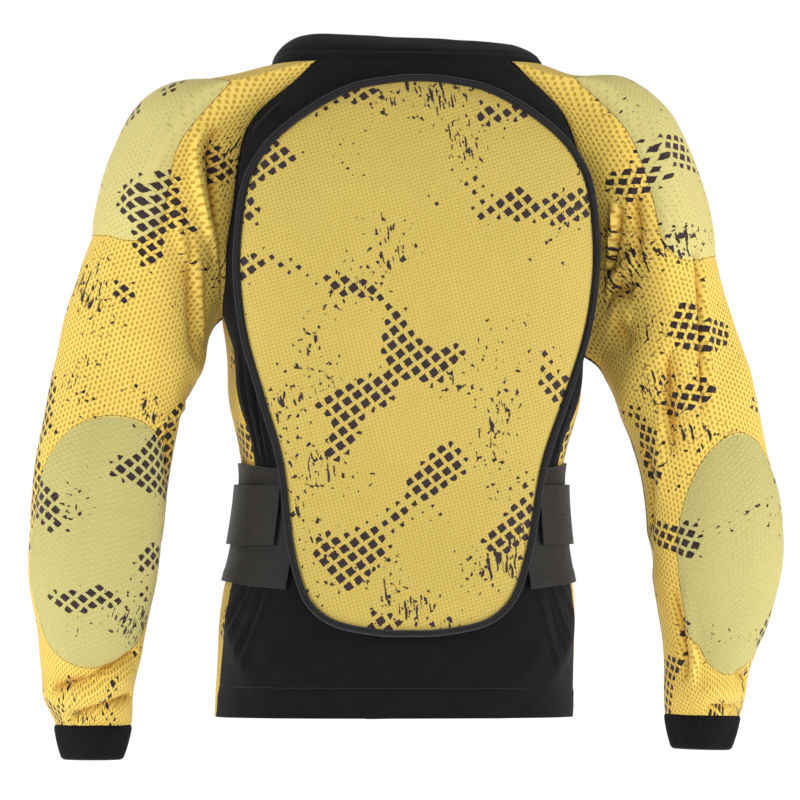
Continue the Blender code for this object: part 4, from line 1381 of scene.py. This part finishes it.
def foam_pads():
    """The pads in their pockets under the sleeve mesh, thin at their edges."""
    finish = foam_finish(current_look())
    kinds = (
        ("shoulder", SHOULDER_PADS, SHOULDER_PAD_CLEARANCE),
        ("elbow", ELBOW_PADS, ELBOW_PAD_CLEARANCE))
    spoke = np.radians(np.linspace(0, 360, PAD_GRID[0] + 1))[None, :]
    share = np.linspace(0, 1, PAD_GRID[1] + 1)[:, None]
    for side in SIDES:
        for kind, pads, clearance in kinds:
            row = pads[side]
            turn = row[PAD_ANGLE] + row[PAD_SPREAD] * share * np.cos(spoke)
            ring = row[PAD_RING] + row[PAD_RINGS] * share * np.sin(spoke)
            outer = sleeve_point(side, turn, ring)
            step = 0.04
            across = sleeve_point(side, turn + 1, ring) - sleeve_point(side, turn - 1, ring)
            along = sleeve_point(side, turn, ring + step) - sleeve_point(side, turn, ring - step)
            normal = unit(np.cross(across, along))
            outward = ring_point(side, turn, ring)[1]
            normal = normal * np.sign(np.sum(normal * outward, axis=-1, keepdims=True))
            thick = PAD_EDGE + (PAD_THICKNESS - PAD_EDGE) * (1 - share ** 2) ** 0.7 + 0 * spoke
            grid = outer - normal * (clearance + thick)[..., None]
            grid[:, -1] = grid[:, 0]
            normal[:, -1] = normal[:, 0]
            name = f"{kind}_foam_{side}"
            mesh = sew(name, grid, thick, "disc", flat_grid(grid), normal=normal)
            piece = keep(name, mesh, finish, [f"{kind}_pad_{side}"])


def plate_share_grid():
    """The back protector's places, sideways and down, from its middle to its edge."""
    columns, rows = PLATE_GRID
    edge = plate_outline(np.linspace(0, 1, columns + 1), BINDING_WIDTH * 0.8)
    middle = np.array([0, PLATE_LENGTH / 2])
    share = np.linspace(0, 1, rows + 1)[:, None, None]
    share = 1 - (1 - share) ** 1.3
    return middle + (edge[None] - middle) * share, share[..., 0]


def padded_plate():
    """The padded plate under its fine mesh cover, crowned and drawn in by the binding."""
    flat, share = plate_share_grid()
    x, down = flat[..., 0], flat[..., 1]
    grid = plate_surface(x, down)
    normal = plate_normal(x, down)
    thick = PLATE_EDGE + (PLATE_THICKNESS - PLATE_EDGE) * (1 - share ** 4)
    thick = thick + waves(grid * (1, 0, 1), PLATE_DENTS, 5.0) * (1 - share ** 8)
    edge = np.exp(-(((1 - share) / 0.03) ** 2))
    thick = thick - 0.0016 * edge
    grid[:, -1] = grid[:, 0]
    mesh = sew("padded_plate", grid, thick, "disc", flat, outward=(0, 1, 0), normal=normal)
    finish = plate_finish(current_look())
    piece = keep("padded_plate", mesh, finish, ["back_protector"])


def plate_binding():
    """The tape folded round the plate's edge."""
    look = current_look()
    columns, rows = BINDING_GRID
    share = np.linspace(0, 1, columns + 1)[None, :]
    turn = np.radians(np.linspace(0, 360, rows + 1))[:, None]
    share, turn = np.broadcast_arrays(share, turn)
    across = signed_power(np.cos(turn), 0.6) * BINDING_WIDTH / 2
    through = signed_power(np.sin(turn), 0.6) * BINDING_THICKNESS / 2
    flat = plate_outline(share, BINDING_WIDTH / 2 + across)
    x, down = flat[..., 0], flat[..., 1]
    grid = plate_surface(x, down)
    normal = plate_normal(x, down)
    grid = grid + normal * (BINDING_THICKNESS / 2 + through)[..., None]
    bm = bmesh.new()
    bm.loops.layers.uv.new("Place")
    bmesh.ops.create_grid(bm, x_segments=columns, y_segments=rows, size=0.5, calc_uvs=True)
    u, v = (bm.verts.layers.float.new(name) for name in "uv")
    for vert in bm.verts:
        vert[u], vert[v] = vert.co.x + 0.5, vert.co.y + 0.5
        section = Matrix.Rotation(2 * math.pi * vert[v], 4, "Y") @ Vector((0.3, 0, 0))
        vert.co = Matrix.Rotation(2 * math.pi * vert[u], 4, "Z") @ (Vector((1, 0, 0)) + section)
    bmesh.ops.remove_doubles(bm, verts=bm.verts, dist=0.00001)
    mesh = bpy.data.meshes.new("plate_binding")
    bm.to_mesh(mesh)
    bm.free()
    count = len(mesh.vertices)
    u, v = (layer_values(mesh, key, count) for key in "uv")
    places = grid[np.rint(v * rows).astype(int), np.rint(u * columns).astype(int)]
    mesh.vertices.foreach_set("co", places.astype(np.float32).ravel())
    loops = np.zeros(len(mesh.loops) * 2, np.float32)
    mesh.uv_layers["Place"].uv.foreach_get("vector", loops)
    cloth = mesh.uv_layers.new(name="Cloth")
    cloth.uv.foreach_set("vector", loops * np.tile([BINDING_LENGTH, BINDING_WRAP], len(mesh.loops)))
    finish = jersey_finish("binding_tape", look.tape_black, 0.0012, 0.25)
    keep("plate_binding", mesh, finish, ["back_binding"])


def band_grid(start, end, top, height, droop, inner, columns, rows):
    """Points of the inner side of a band round the body between two angles in degrees, and their
    shares of its height."""
    angle = np.radians(np.linspace(start, end, columns + 1))[None, :]
    share = np.linspace(0, 1, rows + 1)[:, None]
    angle, share = np.broadcast_arrays(angle, share)
    back = np.maximum(np.cos(angle), 0.0) ** 1.5
    drop = top + droop * back + height * (1 - share)
    down = (drop - neck_drop(angle)) / (BACK_LENGTH - neck_drop(angle))
    return body_point(angle, down, inner), share


def elastic_belt():
    """The wide elastic band, with a thicker woven edge at its bottom."""
    look = current_look()
    inner = CLOTH + SOFT_CLEARANCE
    grid, share = band_grid(
        BELT_START, 360 - BELT_START, BELT_TOP, BELT_HEIGHT, BELT_DROOP, inner, *BELT_GRID)
    low = share * BELT_HEIGHT
    edge = 1 - eased((low - BELT_EDGE) / 0.0012)
    thickness = BELT_THICKNESS * 0.8 + 0.0006 * edge
    mesh = sew("elastic_belt", grid, thickness, "panel", flat_grid(grid))
    finish = elastic_finish("belt_elastic", look, look.charcoal)
    piece = keep("elastic_belt", mesh, finish, ["kidney_belt"])


def tightening_straps():
    """The narrower straps that tighten the belt on both sides."""
    look = current_look()
    finish = elastic_finish("strap_elastic", look, [c * 1.15 for c in look.charcoal])
    inner = CLOTH + SOFT_CLEARANCE * 2 + BELT_THICKNESS
    for side, sign in SIDES.items():
        grid, _ = band_grid(
            sign * STRAP_START, sign * STRAP_END, STRAP_TOP, STRAP_HEIGHT, 0.0, inner, *STRAP_GRID)
        name = f"tightening_strap_{side}"
        mesh = sew(name, grid, BELT_THICKNESS * 0.8, "panel", flat_grid(grid))
        piece = keep(name, mesh, finish, [f"belt_strap_{side}"])


# Sewing


def stitch_row(bm, line, outward, pitch, length, width, slant):
    """Adds a row of stitches along a line of points, lying on the cloth and turned by the slant
    in degrees."""
    steps = np.linalg.norm(np.diff(line, axis=0), axis=-1)
    places = np.concatenate([[0.0], np.cumsum(steps)])
    for place in np.arange(pitch / 2, places[-1], pitch):
        at = Vector([np.interp(place, places, line[:, axis]) for axis in range(3)])
        ahead = Vector([np.interp(place + pitch / 4, places, line[:, axis]) for axis in range(3)])
        up = Vector([np.interp(place, places, outward[:, axis]) for axis in range(3)])
        if (ahead - at).length < 1e-6:
            continue
        along = (ahead - at).normalized()
        side = along.cross(up).normalized()
        up = side.cross(along)
        turned = Matrix((along, side, up)).transposed().to_4x4()
        turned = turned @ Matrix.Rotation(math.radians(slant), 4, "Z")
        size = Matrix.Diagonal((length / 2, width / 2, width / 2, 1))
        bmesh.ops.create_icosphere(
            bm, subdivisions=1, radius=1.0, matrix=Matrix.Translation(at) @ turned @ size)


def thread_piece(name, rows, finish, look, pitch=1.0, length=0.72, slant=0.0):
    """A piece of stitches along several lines, given as pairs of points and normals."""
    bm = bmesh.new()
    for line, outward in rows:
        stitch_row(
            bm, line, outward, look.stitch_pitch * pitch, look.stitch_pitch * pitch * length,
            look.stitch_width, slant)
    mesh = bpy.data.meshes.new(name)
    bm.to_mesh(mesh)
    bm.free()
    keep(name, mesh, finish, [])


def stitching():
    """The stitches of the hem, the binding and the collar."""
    look = current_look()
    grey = thread_finish("grey_thread", look.thread_grey)
    grid, normal = sewn_back()
    hem = grid[HEM_ROW] + normal[HEM_ROW] * (CLOTH - 0.0002)
    thread_piece("hem_stitches", [(hem, normal[HEM_ROW])], grey, look)
    rows = []
    for inset in BINDING_STITCHES:
        flat = plate_outline(np.linspace(0, 1, 900), inset)
        normal = plate_normal(flat[:, 0], flat[:, 1])
        line = plate_surface(flat[:, 0], flat[:, 1]) + normal * (BINDING_THICKNESS - 0.00015)
        rows.append((line, normal))
    thread_piece("binding_stitches", rows, grey, look, 0.9)
    grid, normal, thickness = sewn_collar()
    line = grid[COLLAR_STITCH_ROW]
    outward = normal[COLLAR_STITCH_ROW]
    line = line + outward * (thickness[COLLAR_STITCH_ROW] - 0.0001)[:, None]
    thread_piece("collar_stitches", [(line, outward)], grey, look)


def pad_outlines():
    """The thread that closes each pad's pocket, along the foot of the pad."""
    look = current_look()
    dark = thread_finish("dark_thread", look.print_colour)
    spoke = np.radians(np.linspace(0, 360, 700))
    for side in SIDES:
        rows = []
        for pads in (SHOULDER_PADS, ELBOW_PADS):
            row = pads[side]
            turn = row[PAD_ANGLE] + row[PAD_SPREAD] * np.cos(spoke)
            ring = row[PAD_RING] + row[PAD_RINGS] * np.sin(spoke)
            rows.append(on_sleeve(side, turn, ring))
        thread_piece(f"pocket_seams_{side}", rows, dark, look, 0.6, 1.3)


def overlocked_seams():
    """The black overlock stitches over the raglan seams and down the inner arms."""
    look = current_look()
    black = thread_finish("overlock_thread", look.black)
    raglan = np.linspace(SEAM_START, 360 - SEAM_START, 900)
    inner_arm = np.linspace(0.15, LAST_RING - 0.1, 700)
    for side in SIDES:
        rows = [
            on_sleeve(side, raglan, np.full(900, 0.06)),
            on_sleeve(side, np.full(700, SLEEVE_SEAM), inner_arm)]
        thread_piece(
            f"overlock_{side}", rows, black, look, OVERLOCK_PITCH, OVERLOCK_WIDTH,
            OVERLOCK_SLANT)


# Stage


def stage():
    """The pale floor, the soft lights and the camera."""
    look = current_look()
    scene = bpy.context.scene
    bm = bmesh.new()
    bmesh.ops.create_grid(
        bm, x_segments=4, y_segments=4, size=FLOOR_SIZE,
        matrix=Matrix.Translation((0, 0, FLOOR_DROP)))
    mesh = bpy.data.meshes.new("floor")
    bm.to_mesh(mesh)
    bm.free()
    floor = bpy.data.objects.new("floor", mesh)
    mesh.materials.append(floor_finish(look))
    scene.collection.objects.link(floor)
    target = Vector(CAMERA_TARGET)
    for name, place, size, power in LIGHTS:
        lamp = bpy.data.lights.new(name, "AREA")
        lamp.shape = "DISK"
        lamp.size = size
        lamp.energy = power
        made = bpy.data.objects.new(name, lamp)
        made.location = place
        made.rotation_euler = (target - Vector(place)).to_track_quat("-Z", "Y").to_euler()
        scene.collection.objects.link(made)
    world = bpy.data.worlds.new("studio")
    scene.world = world
    world.use_nodes = True
    tree = world.node_tree
    ambient = tree.nodes["Background"]
    ambient.inputs["Color"].default_value = (1, 1, 1, 1)
    ambient.inputs["Strength"].default_value = AMBIENT
    white = tree.nodes.new("ShaderNodeBackground")
    white.inputs["Color"].default_value = (1, 1, 1, 1)
    white.inputs["Strength"].default_value = 1.0
    seen = tree.nodes.new("ShaderNodeLightPath")
    mix = tree.nodes.new("ShaderNodeMixShader")
    tree.links.new(seen.outputs["Is Camera Ray"], mix.inputs[0])
    tree.links.new(ambient.outputs[0], mix.inputs[1])
    tree.links.new(white.outputs[0], mix.inputs[2])
    tree.links.new(mix.outputs[0], tree.nodes["World Output"].inputs["Surface"])
    scene.view_settings.view_transform = "Standard"
    lens = bpy.data.cameras.new("camera")
    lens.sensor_width = 36.0
    lens.lens = lens.sensor_width * CAMERA_DISTANCE / VIEW_WIDTH
    lens.clip_start, lens.clip_end = 0.05, 200.0
    camera = bpy.data.objects.new("camera", lens)
    aside = math.radians(CAMERA_ASIDE)
    away = Vector((math.sin(aside), math.cos(aside), 0))
    camera.location = target + away * CAMERA_DISTANCE
    camera.rotation_euler = (-away).to_track_quat("-Z", "Y").to_euler()
    scene.collection.objects.link(camera)
    scene.camera = camera


# Operators, one for each kind of piece


class PROTECTOR_OT_stretch_back(bpy.types.Operator):
    """Sews the black stretch yoke, sides and lower back"""

    bl_idname = "protector.stretch_back"
    bl_label = "Stretch back"

    def execute(self, context):
        stretch_back()
        return {"FINISHED"}


class PROTECTOR_OT_mesh_fronts(bpy.types.Operator):
    """Sews the mesh front panels"""

    bl_idname = "protector.mesh_fronts"
    bl_label = "Mesh fronts"

    def execute(self, context):
        mesh_fronts()
        return {"FINISHED"}


class PROTECTOR_OT_front_zip(bpy.types.Operator):
    """Makes the closed front zip"""

    bl_idname = "protector.front_zip"
    bl_label = "Front zip"

    def execute(self, context):
        front_zip()
        return {"FINISHED"}


class PROTECTOR_OT_mesh_sleeves(bpy.types.Operator):
    """Sews the raglan sleeves over their pads"""

    bl_idname = "protector.mesh_sleeves"
    bl_label = "Mesh sleeves"

    def execute(self, context):
        mesh_sleeves()
        return {"FINISHED"}


class PROTECTOR_OT_rib_cuffs(bpy.types.Operator):
    """Knits the rib cuffs"""

    bl_idname = "protector.rib_cuffs"
    bl_label = "Rib cuffs"

    def execute(self, context):
        rib_cuffs()
        return {"FINISHED"}


class PROTECTOR_OT_jersey_collar(bpy.types.Operator):
    """Sews the jersey collar"""

    bl_idname = "protector.jersey_collar"
    bl_label = "Jersey collar"

    def execute(self, context):
        jersey_collar()
        return {"FINISHED"}


class PROTECTOR_OT_foam_pads(bpy.types.Operator):
    """Shapes the shoulder and elbow pads"""

    bl_idname = "protector.foam_pads"
    bl_label = "Foam pads"

    def execute(self, context):
        foam_pads()
        return {"FINISHED"}


class PROTECTOR_OT_back_plate(bpy.types.Operator):
    """Makes the padded back plate and its binding"""

    bl_idname = "protector.back_plate"
    bl_label = "Back plate"

    def execute(self, context):
        padded_plate()
        plate_binding()
        return {"FINISHED"}


class PROTECTOR_OT_elastic_belt(bpy.types.Operator):
    """Makes the elastic kidney belt and its tightening straps"""

    bl_idname = "protector.elastic_belt"
    bl_label = "Elastic belt"

    def execute(self, context):
        elastic_belt()
        tightening_straps()
        return {"FINISHED"}


class PROTECTOR_OT_stitching(bpy.types.Operator):
    """Sews the hem, binding, collar, pocket and overlock stitches"""

    bl_idname = "protector.stitching"
    bl_label = "Stitching"

    def execute(self, context):
        stitching()
        pad_outlines()
        overlocked_seams()
        return {"FINISHED"}


class PROTECTOR_OT_stage(bpy.types.Operator):
    """Sets the floor, the lights and the camera"""

    bl_idname = "protector.stage"
    bl_label = "Stage"

    def execute(self, context):
        stage()
        return {"FINISHED"}


STEPS = (
    PROTECTOR_OT_stretch_back,
    PROTECTOR_OT_mesh_fronts,
    PROTECTOR_OT_front_zip,
    PROTECTOR_OT_mesh_sleeves,
    PROTECTOR_OT_rib_cuffs,
    PROTECTOR_OT_jersey_collar,
    PROTECTOR_OT_foam_pads,
    PROTECTOR_OT_back_plate,
    PROTECTOR_OT_elastic_belt,
    PROTECTOR_OT_stitching,
    PROTECTOR_OT_stage,
)


class PROTECTOR_PT_jacket(bpy.types.Panel):
    """Colours, sizes and steps of the jacket"""

    bl_label = "Body protector"
    bl_idname = "PROTECTOR_PT_jacket"
    bl_space_type = "VIEW_3D"
    bl_region_type = "UI"
    bl_category = "Protector"

    def draw(self, context):
        look = context.scene.jacket_look
        column = self.layout.column()
        for key in JacketLook.__annotations__:
            column.prop(look, key)
        for step in STEPS:
            column.operator(step.bl_idname)


CLASSES = (JacketLook, *STEPS, PROTECTOR_PT_jacket)


def register():
    for made in CLASSES:
        bpy.utils.register_class(made)
    bpy.types.Scene.jacket_look = PointerProperty(type=JacketLook)


def unregister():
    del bpy.types.Scene.jacket_look
    for made in reversed(CLASSES):
        bpy.utils.unregister_class(made)


def main():
    register()
    for step in STEPS:
        group, name = step.bl_idname.split(".")
        getattr(getattr(bpy.ops, group), name)()


if __name__ == "__main__":
    main()
